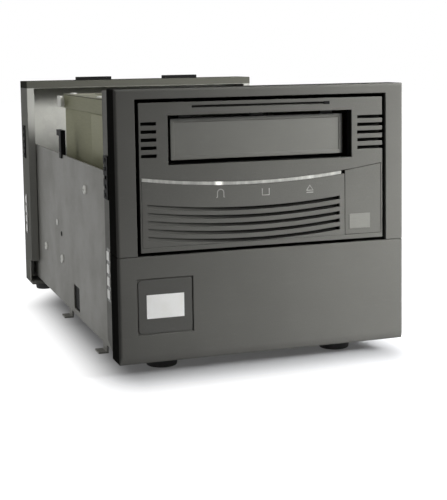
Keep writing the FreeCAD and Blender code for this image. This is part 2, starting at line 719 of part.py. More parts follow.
def make_front_frame():
    """Upper front moulding: an inverted U with hollow stiles, open towards the rear."""
    open_x = BEZEL_X + size.bezel_gap
    open_top = BEZEL_TOP + size.bezel_gap
    low = SEAM + size.seam_gap
    part = solid_body("front_frame")
    outline = [
        (-HALF, low), (-HALF, TOP), (HALF, TOP), (HALF, low),
        (open_x, low), (open_x, open_top), (-open_x, open_top), (-open_x, low),
    ]
    pad(part, sketch(part, "frame_outline", "XZ", FRONT, [outline]), size.front_depth, True)
    wall = size.panel_wall
    stiles = []
    for side in SIDES:
        stiles.append(rectangle(mirrored(side, open_x + wall, HALF - wall), (low + wall, TOP - wall)))
    hollow = sketch(part, "frame_stiles", "XZ", MOULD_BACK, stiles)
    pocket(part, hollow, size.front_depth - wall, True)

    def outer_front(edge):
        at_side = lies_at(edge, "x", HALF) or lies_at(edge, "x", -HALF)
        return lies_at(edge, "y", FRONT) and (at_side or lies_at(edge, "z", TOP))

    fillet(part, "frame_edges", size.front_round, outer_front)
    return node(part)


def make_lower_panel():
    """Lower front moulding: chamfered along the bottom, ribbed behind, with a square recess."""
    part = solid_body("lower_panel")
    profile = [
        (FRONT, BASE + size.lip_height), (FRONT, SEAM), (MOULD_BACK, SEAM), (MOULD_BACK, BASE),
        (FRONT + size.lip_depth, BASE),
    ]
    pad(part, sketch(part, "panel_profile", "YZ", -HALF, [profile]), HALF * 2)
    wall = size.panel_wall
    cell = (HALF * 2 - wall * 2 - size.rib * 2) / 3
    cells = []
    for index in range(3):
        left = wall - HALF + (cell + size.rib) * index
        cells.append(rectangle((left, left + cell), (BASE + wall, SEAM - wall)))
    pocket(part, sketch(part, "panel_cells", "XZ", MOULD_BACK, cells), size.front_depth - wall, True)
    left = size.badge_left - HALF
    low = BADGE_LOW
    square = rectangle((left, left + size.badge_width), (low, low + size.badge_height))
    pocket(part, sketch(part, "panel_recess", "XZ", FRONT, [square]), size.badge_recess)

    def front_sides(edge):
        at_side = lies_at(edge, "x", HALF) or lies_at(edge, "x", -HALF)
        return at_side and lies_at(edge, "y", FRONT)

    fillet(part, "panel_edges", size.front_round, front_sides)
    return node(part)


def make_badge():
    """Square plate in the lower panel's recess, and the bare label on it."""
    left = size.badge_left - HALF + size.badge_gap
    low = BADGE_LOW + size.badge_gap
    wide = size.badge_width - size.badge_gap * 2
    tall = size.badge_height - size.badge_gap * 2
    floor = FRONT + size.badge_recess
    face = floor - size.badge_plate
    block = box("badge_block", (left, left + wide), (face, floor), (low, low + tall))
    node(rounded("badge_plate", block, size.badge_round, lambda edge: along(edge, "y")))
    label_x = around(left + wide / 2, size.label_width)
    label_z = around(low + tall / 2, size.label_height)
    node(box("badge_label", label_x, (face - size.label_sheet, face), label_z))


# Drive bezel

def arc_rod(name, shift, radius, ys):
    """Large cylinder whose underside draws a curved line on the bezel."""
    centre = (size.arc_side, ys[0], ARC_CENTRE - shift)
    return rod(name, centre, radius, ys[1] - ys[0], "y")


def arc_height(across):
    """Height of the light bar's middle line at a place across the bezel."""
    run = (dim(across) - size.arc_side).number
    radius = size.arc_radius.number
    return ARC_CENTRE - math.sqrt(radius * radius - run * run)


def led_places():
    """The three lamps: to the left of the middle, at it and to its right."""
    return [size.led_pitch * step for step in (-1, 0, 1)]


def make_drive_bezel():
    """The drive's front moulding: slot with a deep wall, vents, lamp holes and the insert's bed."""
    over = size.cut_over
    wall = size.bezel_wall
    faces = (BEZEL_FRONT, BEZEL_BACK)
    block = box("bezel_block", (-BEZEL_X, BEZEL_X), faces, (BEZEL_LOW, BEZEL_TOP))
    hollow = box(
        "bezel_hollow", (wall - BEZEL_X, BEZEL_X - wall), (BEZEL_INNER, BEZEL_BACK + over),
        (BEZEL_LOW + wall, BEZEL_TOP - wall),
    )
    thick = size.tunnel_wall
    tunnel = box(
        "bezel_tunnel", (SLOT_X[0] - thick, SLOT_X[1] + thick), (BEZEL_FRONT, TUNNEL_BACK),
        (SLOT_Z[0] - thick, SLOT_Z[1] + thick),
    )
    pieces = [cut("bezel_shell", block, [hollow]), tunnel] + bezel_ears() + bezel_posts()
    solid = fuse("bezel_solid", pieces)
    cutters = [box("bezel_slot", SLOT_X, (BEZEL_FRONT - over, TUNNEL_BACK + over), SLOT_Z)]
    cutters += bezel_vents() + bezel_holes()
    slit_z = BEZEL_TOP - size.slit_drop
    cutters.append(box(
        "bezel_slit", around(size.slot_offset, size.slit_width),
        (BEZEL_FRONT - over, BEZEL_FRONT + size.slit_depth), around(slit_z, size.slit_height),
    ))
    bed_ys = (BEZEL_FRONT - over, RECESS_FLOOR)
    bed_block = box("bed_block", RECESS_X, bed_ys, (RECESS_LOW, ARC_LOW + size.arc_reach))
    upper_edge = arc_rod("bed_edge", 0, size.arc_radius - size.bar_height / 2, bed_ys)
    cutters.append(cut("bezel_bed", bed_block, [upper_edge]))
    return node(cut("drive_bezel", solid, cutters))


def bezel_ears():
    """Ears behind the bezel that hold the door's pin."""
    ears = []
    reach = size.ear_reach
    for index, edge in enumerate((SLOT_X[0] - size.ear_width, SLOT_X[1])):
        ears.append(box(
            f"bezel_ear_{index}", (edge, edge + size.ear_width), (BEZEL_INNER, PIVOT_Y + reach),
            (PIVOT_Z - reach, PIVOT_Z + reach),
        ))
    return ears


def indicator_xs():
    """Left and right end of the indicator board."""
    return (size.indicator_left, BEZEL_X - size.bezel_wall - size.led_gap)


def indicator_zs():
    """Bottom and top of the indicator board."""
    return (BUTTON_LOW + size.post_radius, ARC_LOW + size.arc_reach / 2)


def bezel_posts():
    """Posts that carry the indicator board."""
    low, high = indicator_zs()
    inset = size.post_radius
    posts = []
    left, right = indicator_xs()
    for across in (left + inset, right - inset):
        for up in (low + inset, high - inset):
            name = f"bezel_post_{len(posts)}"
            posts.append(rod(name, (across, BEZEL_INNER, up), inset, size.post_length, "y"))
    return posts


def bezel_vents():
    """Rows of short vents at both sides of the bezel; the right ones run out at its edge."""
    over = size.cut_over
    vents = []
    spans = (
        (size.vent_edge - BEZEL_X, size.vent_left - BEZEL_X),
        (BEZEL_X - size.vent_right, BEZEL_X + over),
    )
    for span in spans:
        for index in range(count(size.vent_count)):
            middle = BEZEL_TOP - size.vent_drop + size.vent_height / 2 + size.vent_pitch * index
            vents.append(box(
                f"bezel_vent_{len(vents)}", span, (BEZEL_FRONT - over, BEZEL_FRONT + size.vent_depth),
                around(middle, size.vent_height),
            ))
    return vents


def bezel_holes():
    """Holes through the bed for the lamps and the button's stems, and through the ears for the pin."""
    over = size.cut_over
    deep = size.bezel_face - size.insert_depth + over * 2
    start = RECESS_FLOOR - over
    holes = []
    for across in led_places():
        at = (across, start, arc_height(across))
        holes.append(rod(f"bezel_lamp_{len(holes)}", at, size.led_radius + size.led_gap, deep, "y"))
    for side in SIDES:
        at = (BUTTON_MID_X, start, BUTTON_MID_Z + size.stem_spread * side)
        holes.append(rod(f"bezel_stem_{len(holes)}", at, size.stem_radius + size.button_gap, deep, "y"))
    start_x = SLOT_X[0] - size.ear_width - over
    run = SLOT_X[1] - SLOT_X[0] + size.ear_width * 2 + over * 2
    pin_at = (start_x, PIVOT_Y, PIVOT_Z)
    holes.append(rod("bezel_pin_hole", pin_at, size.pin_radius + size.turn_fit, run, "x"))
    return holes


def make_insert():
    """Lower trim with curved grooves that deepen towards the right."""
    over = size.cut_over
    xs = (RECESS_X[0] + size.fit, BUTTON_X[0] - size.button_gap)
    ys = (BEZEL_FRONT, RECESS_FLOOR)
    block = box("insert_block", xs, ys, (RECESS_LOW + size.fit, ARC_LOW + size.arc_reach))
    far_ys = (BEZEL_FRONT - over, RECESS_FLOOR + over)
    edge = arc_rod("insert_edge", 0, size.arc_radius + size.bar_height / 2 + size.fit, far_ys)
    trim = cut("insert_trim", block, [edge])
    groove_xs = (xs[0] + size.groove_end, xs[1] - size.groove_end)
    ramp = solid_body("groove_ramp")
    outline = [
        (groove_xs[0], BEZEL_FRONT - over), (groove_xs[1], BEZEL_FRONT - over),
        (groove_xs[1], BEZEL_FRONT + size.groove_deep), (groove_xs[0], BEZEL_FRONT + size.groove_shallow),
    ]
    pad(ramp, sketch(ramp, "ramp_outline", "XY", BEZEL_LOW, [outline]), ARC_LOW - BEZEL_LOW)
    grooves = []
    half = size.groove_height / 2
    for index in range(count(size.vent_count)):
        shift = size.groove_drop + size.vent_pitch * index
        outer = arc_rod(f"groove_outer_{index}", shift, size.arc_radius + half, far_ys)
        inner = arc_rod(f"groove_inner_{index}", shift, size.arc_radius - half, far_ys)
        band = shared(f"groove_band_{index}", outer, ramp)
        grooves.append(cut(f"groove_{index}", band, [inner]))
    return node(cut("bezel_insert", trim, grooves))


def make_light_bar():
    """Curved light strip between the bezel and its insert."""
    half = size.bar_height / 2
    ys = (BEZEL_FRONT, RECESS_FLOOR)
    outer = arc_rod("bar_outer", 0, size.arc_radius + half, ys)
    inner = arc_rod("bar_inner", 0, size.arc_radius - half + size.fit, ys)
    band = cut("bar_band", outer, [inner])
    xs = (RECESS_X[0] + size.fit, BUTTON_X[0] - size.button_gap - size.bar_end)
    window = box("bar_window", xs, ys, (BEZEL_LOW, BEZEL_TOP))
    return node(shared("light_bar", band, window))


def make_eject_button():
    """Button whose top follows the curve, on two stems, with a bare plate on its face."""
    ys = (BEZEL_FRONT, BEZEL_FRONT + size.button_plate)
    over = size.cut_over
    block = box("button_block", BUTTON_X, ys, (BUTTON_LOW, ARC_LOW + size.arc_reach))
    far_ys = (ys[0] - over, ys[1] + over)
    edge = arc_rod("button_edge", 0, size.arc_radius - size.bar_height / 2 + size.button_gap, far_ys)
    pieces = [cut("button_plate_solid", block, [edge])]
    for side in SIDES:
        at = (BUTTON_MID_X, ys[1], BUTTON_MID_Z + size.stem_spread * side)
        pieces.append(rod(f"button_stem_{len(pieces)}", at, size.stem_radius, size.stem_length, "y"))
    stem_end = ys[1] + size.stem_length
    tip_at = (BUTTON_MID_X, stem_end, BUTTON_MID_Z - size.stem_spread)
    pieces.append(rod("button_tip", tip_at, size.plunger_radius, size.plunger_length, "y"))
    node(fuse("eject_button", pieces))
    left = BUTTON_X[0] + size.name_side
    low = BUTTON_LOW + size.name_rise
    node(box(
        "name_badge", (left, left + size.name_width), (BEZEL_FRONT - size.name_sheet, BEZEL_FRONT),
        (low, low + size.name_height),
    ))


def make_indicator_board():
    """Board behind the bezel, with the eject switch and the lamps."""
    low, high = indicator_zs()
    node(box("indicator_board", indicator_xs(), (INDICATOR_Y, INDICATOR_Y + size.board_sheet), (low, high)))
    middle = BUTTON_MID_Z - size.stem_spread
    switch_y = INDICATOR_Y - size.switch_depth
    block = box(
        "switch_block", around(BUTTON_MID_X, size.switch_size), (switch_y, INDICATOR_Y),
        around(middle, size.switch_size),
    )
    over = size.cut_over
    bore = rod(
        "switch_bore", (BUTTON_MID_X, switch_y - over, middle), size.plunger_radius + size.led_gap,
        size.switch_depth + over, "y",
    )
    node(cut("eject_switch", block, [bore]))
    lamps = []
    start = RECESS_FLOOR + size.led_gap
    for across in led_places():
        at = (across, start, arc_height(across))
        lamps.append(rod(f"lamp_{len(lamps)}", at, size.led_radius, INDICATOR_Y - start, "y"))
    node(group("indicator_leds", lamps))


def make_cartridge_door():
    """Flap set back in the slot, hung from knuckles on a pin above it, with its coil spring."""
    xs = (SLOT_X[0] + size.door_gap, SLOT_X[1] - size.door_gap)
    ys = around(PIVOT_Y - size.door_lead, size.door_sheet)
    zs = (SLOT_Z[0] + size.door_play, SLOT_Z[1] - size.door_play)
    over = size.cut_over
    plate = box("door_plate", xs, ys, zs)
    border = size.door_border
    sink = box(
        "door_sunk_middle", (xs[0] + border, xs[1] - border), (ys[0] - over, ys[0] + size.door_sink),
        (zs[0] + border, zs[1] - border),
    )
    pieces = [cut("door_framed", plate, [sink])]
    for step in (-1, 0, 1):
        span = around(size.slot_offset + size.knuckle_pitch * step, size.knuckle_width)
        arm = around(PIVOT_Y, size.door_sheet)
        pieces.append(box(f"door_arm_{step + 1}", span, arm, (zs[1] - border, PIVOT_Z)))
        at = (span[0], PIVOT_Y, PIVOT_Z)
        pieces.append(rod(f"door_knuckle_{step + 1}", at, size.knuckle_radius, size.knuckle_width, "x"))
    solid = fuse("door_solid", pieces)
    start = (SLOT_X[0], PIVOT_Y, PIVOT_Z)
    run = SLOT_X[1] - SLOT_X[0]
    bore = rod("door_bore", start, size.pin_radius + size.turn_fit, run, "x")
    node(cut("cartridge_door", solid, [bore]))
    pin_start = (SLOT_X[0] - size.ear_width, PIVOT_Y, PIVOT_Z)
    node(rod("door_pin", pin_start, size.pin_radius, run + size.ear_width * 2, "x"))
    coil_x = size.slot_offset + size.knuckle_width / 2 + size.fit
    outer = size.pin_radius + size.turn_fit + size.spring_wire
    sleeve = rod("spring_sleeve", (coil_x, PIVOT_Y, PIVOT_Z), outer, size.spring_length, "x")
    hole = rod(
        "spring_hole", (coil_x - over, PIVOT_Y, PIVOT_Z), size.pin_radius + size.turn_fit,
        size.spring_length + over * 2, "x",
    )
    leg = box(
        "spring_leg", (coil_x + size.spring_length - size.spring_wire, coil_x + size.spring_length),
        (ys[1], ys[1] + size.spring_wire), (zs[0] + border * 3, PIVOT_Z - size.pin_radius - size.turn_fit),
    )
    node(fuse("door_spring", [cut("spring_coil", sleeve, [hole]), leg]))


# Drive body

def make_drive_base():
    """Casting: two side walls, a deck between them and a rear wall with its cut-outs."""
    wall = size.drive_wall
    part = solid_body("casting")
    outer = DRIVE_X
    inner = DRIVE_X - wall
    outline = [
        (-outer, WALL_LOW), (-outer, WALL_TOP), (-inner, WALL_TOP), (-inner, DECK),
        (inner, DECK), (inner, WALL_TOP), (outer, WALL_TOP), (outer, WALL_LOW),
        (inner, WALL_LOW), (inner, DECK_LOW), (-inner, DECK_LOW), (-inner, WALL_LOW),
    ]
    pad(part, sketch(part, "casting_section", "XZ", BEZEL_BACK, [outline]), DRIVE_LENGTH, True)
    rear = rectangle((-outer, outer), (WALL_LOW, WALL_TOP))
    pad(part, sketch(part, "casting_rear", "XZ", DRIVE_REAR - wall, [rear]), wall, True)
    over = size.cut_over
    room = size.socket_room
    cutters = []
    for across, centre_y in ((size.slot_offset, HUB_Y), (size.reel_side, REEL_Y)):
        at = (across, centre_y, DECK_LOW - over)
        radius = size.shaft_radius + size.shaft_room
        cutters.append(rod(f"deck_hole_{len(cutters)}", at, radius, size.deck_sheet + over * 2))
    for across, width in ((size.data_side, size.data_width), (size.power_side, size.power_width)):
        cutters.append(box(
            f"socket_hole_{len(cutters)}", around(across, width + room * 2),
            (DRIVE_REAR - wall - over, DRIVE_REAR + over),
            (BOARD_TOP - room, BOARD_TOP + size.socket_height + room),
        ))
    cutters.append(rod(
        "magnet_hole", (size.head_side, HEAD_Y, DECK_LOW - over), size.magnet_radius / 2,
        size.deck_sheet + over * 2,
    ))
    return node(cut("drive_base", part, cutters))


def make_drive_covers():
    """Top cover with turned-down edges, and the flat bottom plate."""
    part = solid_body("drive_cover")
    inner = DRIVE_X + size.fit
    outer = inner + size.cover_sheet
    edge = DRIVE_TOP - size.cover_flange
    section = [
        (-outer, edge), (-outer, DRIVE_TOP), (outer, DRIVE_TOP), (outer, edge),
        (inner, edge), (inner, WALL_TOP), (-inner, WALL_TOP), (-inner, edge),
    ]
    pad(part, sketch(part, "cover_section", "XZ", BEZEL_BACK, [section]), DRIVE_LENGTH, True)
    node(part)
    node(box("drive_bottom_plate", (-DRIVE_X, DRIVE_X), (BEZEL_BACK, DRIVE_REAR), (DRIVE_LOW, WALL_LOW)))


def make_receiver():
    """Channel that guides the cartridge, open in front, with a hole for the hub."""
    half = size.cartridge_width / 2 + size.bay_play
    wall = size.bay_wall
    middle = size.slot_offset
    inner = (middle - half, middle + half)
    outer = (inner[0] - wall, inner[1] + wall)
    top = BAY_FLOOR + size.guide_height
    pieces = [
        box("bay_floor", outer, BAY_Y, (BAY_FLOOR - wall, BAY_FLOOR)),
        box("bay_left", (outer[0], inner[0]), BAY_Y, (DECK, top)),
        box("bay_right", (inner[1], outer[1]), BAY_Y, (DECK, top)),
        box("bay_stop", outer, (BAY_Y[1] - wall, BAY_Y[1]), (DECK, top)),
    ]
    over = size.cut_over
    hole = rod(
        "bay_hub_hole", (middle, HUB_Y, BAY_FLOOR - wall - over), size.hub_radius + size.hub_room,
        wall + over * 2,
    )
    return node(cut("receiver", fuse("bay_channel", pieces), [hole]))


def make_motor(name, across, centre_y):
    """Reel motor under the deck, with a bore for its shaft."""
    low = DECK_LOW - size.motor_height
    can = rod(f"{name}_can", (across, centre_y, low), size.motor_radius, size.motor_height)
    bore_low = DECK_LOW - size.shaft_sink - size.cut_over
    bore = rod(
        f"{name}_bore", (across, centre_y, bore_low), size.shaft_radius + size.turn_fit,
        size.shaft_sink + size.cut_over * 2,
    )
    return cut(name, can, [bore])


def make_motors():
    """The two reel motors."""
    supply = make_motor("supply_motor", size.slot_offset, HUB_Y)
    takeup = make_motor("takeup_motor", size.reel_side, REEL_Y)
    node(group("reel_motors", [supply, takeup]))


def make_supply():
    """Toothed hub that drives the cartridge's reel."""
    low = DECK + size.hub_gap
    top = low + size.hub_height
    shaft_low = DECK_LOW - size.shaft_sink
    pieces = [
        rod("hub_shaft", (size.slot_offset, HUB_Y, shaft_low), size.shaft_radius, low - shaft_low),
        rod("hub_disc", (size.slot_offset, HUB_Y, low), size.hub_radius, size.hub_height),
    ]
    teeth = count(size.tooth_count)
    reach = size.hub_radius - size.tooth_length
    for index in range(teeth):
        angle = 2 * math.pi * index / teeth
        tooth = DOC.addObject("Part::Box", f"hub_tooth_{index}")
        bind(tooth, "Length", size.tooth_length)
        bind(tooth, "Width", size.tooth_width)
        bind(tooth, "Height", size.tooth_height)
        sideways = size.tooth_width / 2
        at = (
            size.slot_offset + reach * math.cos(angle) + sideways * math.sin(angle),
            HUB_Y + reach * math.sin(angle) - sideways * math.cos(angle),
            top,
        )
        pieces.append(place(tooth, at, Rotation(Vector(0, 0, 1), math.degrees(angle))))
    node(fuse("supply_hub", pieces))


def make_takeup():
    """Flanged take-up reel on its shaft."""
    low = DECK + size.reel_gap
    top = low + size.reel_height
    shaft_low = DECK_LOW - size.shaft_sink
    flange = size.reel_flange
    profile = [
        (0, shaft_low), (size.shaft_radius, shaft_low), (size.shaft_radius, low), (size.reel_radius, low),
        (size.reel_radius, low + flange), (size.reel_core, low + flange), (size.reel_core, top - flange),
        (size.reel_radius, top - flange), (size.reel_radius, top), (0, top),
    ]
    node(turned("takeup_reel", profile, (size.reel_side, REEL_Y)))


def make_rollers():
    """Guide rollers in an arc round the take-up reel, each on its own pin."""
    pins = []
    low = DECK + size.roller_rise
    over = size.cut_over
    for index, degrees in enumerate(ROLLER_ANGLES, 1):
        across = size.reel_side + ROLLER_ORBIT * math.cos(math.radians(degrees))
        centre_y = REEL_Y + ROLLER_ORBIT * math.sin(math.radians(degrees))
        name = f"guide_roller_{index}"
        wheel = rod(f"{name}_wheel", (across, centre_y, low), size.roller_radius, size.roller_height)
        bore = rod(
            f"{name}_bore", (across, centre_y, low - over), size.roller_pin + size.turn_fit,
            size.roller_height + over * 2,
        )
        node(cut(name, wheel, [bore]))
        foot = (across, centre_y, DECK)
        collar = rod(f"roller_collar_{index}", foot, size.roller_pin * 2, size.roller_rise - size.fit)
        pin = rod(f"roller_shaft_{index}", foot, size.roller_pin, size.roller_rise + size.roller_height)
        pins.append(fuse(f"roller_pin_{index}", [collar, pin]))
    node(group("roller_pins", pins))


def make_head():
    """Head on a carriage that slides on two shafts, moved by a voice coil over its magnet."""
    xs = around(size.head_side, size.head_width)
    ys = around(HEAD_Y, size.head_length)
    node(box("head_base", xs, ys, (DECK, HEAD_FLOOR)))
    shafts = []
    for side in SIDES:
        at = (size.head_side + size.head_spread * side, HEAD_Y, HEAD_FLOOR)
        shafts.append(rod(f"head_rod_{len(shafts)}", at, size.head_shaft, size.head_rise))
    bridge_low = HEAD_FLOOR + size.head_rise
    bridge_zs = (bridge_low, bridge_low + size.head_tie)
    bridge = box("head_bridge", xs, around(HEAD_Y, size.head_shaft * 4), bridge_zs)
    node(fuse("head_shafts", shafts + [bridge]))
    low = HEAD_FLOOR + size.carriage_rise
    block_zs = (low, low + size.carriage_height)
    block = box("carriage_block", xs, around(HEAD_Y, size.carriage_depth), block_zs)
    over = size.cut_over
    bores = []
    for side in SIDES:
        at = (size.head_side + size.head_spread * side, HEAD_Y, low - over)
        bores.append(rod(
            f"carriage_bore_{len(bores)}", at, size.head_shaft + size.turn_fit,
            size.carriage_height + over * 2,
        ))
    node(cut("head_carriage", block, bores))
    face_xs = (xs[0] - size.head_face, xs[0])
    face_zs = around(low + size.carriage_height / 2, size.head_tall)
    face = box("head_face_block", face_xs, around(HEAD_Y, size.carriage_depth), face_zs)

    def nose(edge):
        return along(edge, "z") and lies_at(edge, "x", face_xs[0])

    node(rounded("head_block", face, size.head_face / 2, nose))
    coil_low = low - size.coil_length
    at = (size.head_side, HEAD_Y, coil_low)
    ring = rod("coil_outer", at, size.coil_radius, size.coil_length)
    hole = rod(
        "coil_inner", (size.head_side, HEAD_Y, coil_low - over), size.coil_radius - size.coil_wall,
        size.coil_length + over * 2,
    )
    node(cut("voice_coil", ring, [hole]))
    node(rod("coil_magnet", (size.head_side, HEAD_Y, HEAD_FLOOR), size.magnet_radius, size.magnet_height))


def make_drive_board():
    """Main board on standoffs under the deck, with its chips and the two rear sockets."""
    xs = (size.board_side - DRIVE_X, DRIVE_X - size.board_side)
    ys = (BEZEL_BACK + size.board_front, DRIVE_REAR - size.drive_wall - size.fit)
    node(box("drive_circuit_board", xs, ys, (BOARD_LOW, BOARD_TOP)))
    inset = size.standoff_in
    posts = []
    for across in (xs[0] + inset, xs[1] - inset):
        for along_y in (ys[0] + inset, ys[1] - inset):
            at = (across, along_y, WALL_LOW)
            posts.append(rod(f"standoff_{len(posts)}", at, size.standoff_radius, size.standoff))
    node(group("board_standoffs", posts))
    chips = []
    middle_y = (ys[0] + ys[1]) / 2
    for column in (-1, 1):
        for row_step in (-1, 0, 1):
            chips.append(box(
                f"chip_{len(chips)}", around(size.chip_pitch / 2 * column, size.chip_size),
                around(middle_y + size.chip_pitch * row_step, size.chip_size),
                (BOARD_TOP, BOARD_TOP + size.chip_height),
            ))
    node(group("board_parts", chips))
    reach = DRIVE_REAR + size.socket_reach
    socket_ys = (reach - size.socket_depth, reach)
    socket_zs = (BOARD_TOP, BOARD_TOP + size.socket_height)
    sockets = []
    for across, width in ((size.data_side, size.data_width), (size.power_side, size.power_width)):
        sockets.append(box(f"socket_{len(sockets)}", around(across, width), socket_ys, socket_zs))
    node(group("drive_sockets", sockets))


# Chassis

def make_chassis_tray():
    """Sheet tray: floor and two walls, with lanced windows and hooks that hold an outer cover."""
    part = solid_body("tray_sheet")
    top = BASE + size.tray_height
    section = [
        (-TRAY_X, TRAY_LOW), (-TRAY_X, top), (-TRAY_IN, top), (-TRAY_IN, TRAY_FLOOR),
        (TRAY_IN, TRAY_FLOOR), (TRAY_IN, top), (TRAY_X, top), (TRAY_X, TRAY_LOW),
    ]
    pad(part, sketch(part, "tray_section", "XZ", PLATE_BACK, [section]), PAN_INNER - PLATE_BACK, True)
    over = size.cut_over
    hooks = []
    windows = []
    for side in SIDES:
        start = FRONT + size.window_back
        low = TRAY_FLOOR + size.window_rise
        windows.append(box(
            f"tray_window_{len(windows)}", mirrored(side, TRAY_IN - over, TRAY_X + over),
            (start, start + size.window_length), (low, low + size.window_height),
        ))
        ear_low = TRAY_FLOOR + size.ear_low
        hooks.append(box(
            f"tray_ear_{len(hooks)}", mirrored(side, TRAY_IN, TRAY_X + size.ear_wide),
            (PAN_INNER - size.sheet, PAN_INNER), (ear_low, ear_low + size.ear_tall),
        ))
        for step in range(2):
            hook_start = FRONT + size.hook_front + size.hook_pitch * step
            hook_ys = (hook_start, hook_start + size.hook_length)
            drop = TRAY_LOW - size.hook_drop
            hooks.append(box(
                f"hook_leg_{len(hooks)}", mirrored(side, TRAY_IN, TRAY_X), hook_ys, (drop, TRAY_FLOOR),
            ))
            hooks.append(box(
                f"hook_toe_{len(hooks)}", mirrored(side, TRAY_IN, TRAY_X + size.hook_reach), hook_ys,
                (drop, drop + size.sheet),
            ))
    return node(cut("chassis_tray", fuse("tray_hooked", [part] + hooks), windows))


def make_front_plate():
    """Flanged plate behind the front mouldings, cut out for the drive, its side flanges slanted below."""
    over = size.cut_over
    sheet = size.plate_sheet
    top = TOP - size.plate_inset
    back = PLATE_BACK + size.flange_depth - sheet
    block = box("plate_block", (-PLATE_X, PLATE_X), (MOULD_BACK, back), (TRAY_LOW, top))
    hollow = box(
        "plate_hollow", (sheet - PLATE_X, PLATE_X - sheet), (PLATE_BACK, back + over),
        (TRAY_LOW - over, top - sheet),
    )
    room = size.fit + size.cover_sheet + size.plate_room
    window = box(
        "plate_window", (-DRIVE_X - room, DRIVE_X + room), (MOULD_BACK - over, PLATE_BACK + over),
        (DRIVE_LOW - size.plate_room, DRIVE_TOP + size.plate_room),
    )
    slope = solid_body("plate_slope")
    end = back + over
    corner = [(PLATE_BACK, TRAY_LOW - over), (end, TRAY_LOW - over), (end, TRAY_LOW + size.flange_lift)]
    pad(slope, sketch(slope, "slope_profile", "YZ", -PLATE_X - over, [corner]), (PLATE_X + over) * 2)
    return node(cut("front_plate", block, [hollow, window, slope]))


def make_drive_rails():
    """Brackets on the tray's walls that carry the drive on ledges and hold it by spacers."""
    sheet = size.rail_sheet
    ys = (FRONT + size.rail_front, FRONT + size.rail_front + size.rail_length)
    low = DRIVE_LOW - sheet
    rails = []
    for side in SIDES:
        web_xs = mirrored(side, TRAY_IN - sheet, TRAY_IN)
        ledge_xs = mirrored(side, DRIVE_X - size.rail_ledge, TRAY_IN)
        pieces = [
            box(f"rail_web_{side}", web_xs, ys, (low, DRIVE_LOW + size.rail_height)),
            box(f"rail_ledge_{side}", ledge_xs, ys, (low, DRIVE_LOW)),
        ]
        inner, outer = mirrored(side, DRIVE_X, TRAY_IN)
        for along_y in (ys[0] + size.spacer_front, ys[0] + size.spacer_front + size.spacer_pitch):
            at = (inner, along_y, DRIVE_LOW + size.spacer_rise)
            name = f"rail_spacer_{side}_{len(pieces)}"
            pieces.append(rod(name, at, size.spacer_radius, outer - inner, "x"))
        rails.append(fuse(f"rail_{side}", pieces))
    return node(group("drive_rails", rails))


def make_power_supply():
    """Closed power supply on the tray's floor, with vents in its rear face."""
    half = TRAY_IN - size.supply_side
    zs = (TRAY_FLOOR, DRIVE_LOW - size.supply_clear)
    case = box("supply_case", (-half, half), SUPPLY_Y, zs)
    vents = []
    slots = count(size.supply_slot_count)
    for index in range(slots):
        middle = size.data_side + size.supply_slot_pitch * (index - (slots - 1) / 2)
        vents.append(box(
            f"supply_vent_{index}", around(middle, size.supply_slot),
            (SUPPLY_Y[1] - size.supply_slot_deep, SUPPLY_Y[1] + size.cut_over),
            around((zs[0] + zs[1]) / 2, size.supply_slot_tall),
        ))
    return node(cut("power_supply", case, vents))


# Rear pan and its fittings

def pan_opening(name, across, up, width, height):
    """Cutter for a rectangular hole in the rear pan."""
    over = size.cut_over
    return box(name, around(across, width), (PAN_INNER - over, PAN_BACK + over), around(up, height))


def make_rear_pan():
    """Flanged rear pan with an inner lip on three sides and the holes for its fittings."""
    over = size.cut_over
    sheet = size.sheet
    block = box("pan_block", (-PAN_X, PAN_X), (PAN_FRONT, PAN_BACK), (PAN_LOW, TOP))
    hollow = box(
        "pan_hollow", (sheet - PAN_X, PAN_X - sheet), (PAN_FRONT + sheet, PAN_INNER),
        (PAN_FLOOR, TOP - sheet),
    )
    mouth = box(
        "pan_mouth", (size.pan_lip - PAN_X, PAN_X - size.pan_lip),
        (PAN_FRONT - over, PAN_FRONT + sheet + over), (PAN_FLOOR, TOP - size.pan_lip),
    )
    cutters = [hollow, mouth]
    for side in SIDES:
        cutters.append(box(
            f"pan_relief_{len(cutters)}", mirrored(side, PAN_X - size.pan_lip - over, PAN_X + over),
            (PAN_FRONT - over, PAN_FRONT + size.relief_depth),
            (PAN_FLOOR, PAN_FLOOR + size.relief_height),
        ))
    fan_at = (FAN_X, PAN_INNER - over, TOP - size.fan_drop)
    cutters.append(rod("pan_fan_hole", fan_at, size.fan_bore, sheet + over * 2, "y"))
    holes = [
        (size.inlet_side, BASE + size.inlet_rise, size.inlet_width, size.inlet_height),
        (size.switch_side, BASE + size.inlet_rise, size.switch_wide, size.switch_tall),
        (size.id_side, BASE + size.id_rise, size.id_width, size.id_height),
    ]
    for step in range(2):
        up = TOP - size.connector_drop + size.connector_pitch * step
        holes.append((size.data_side, up, size.shell_width, size.shell_height))
    for index, (across, up, width, height) in enumerate(holes):
        cutters.append(pan_opening(f"pan_hole_{index}", across, up, width, height))
    return node(cut("rear_pan", block, cutters))


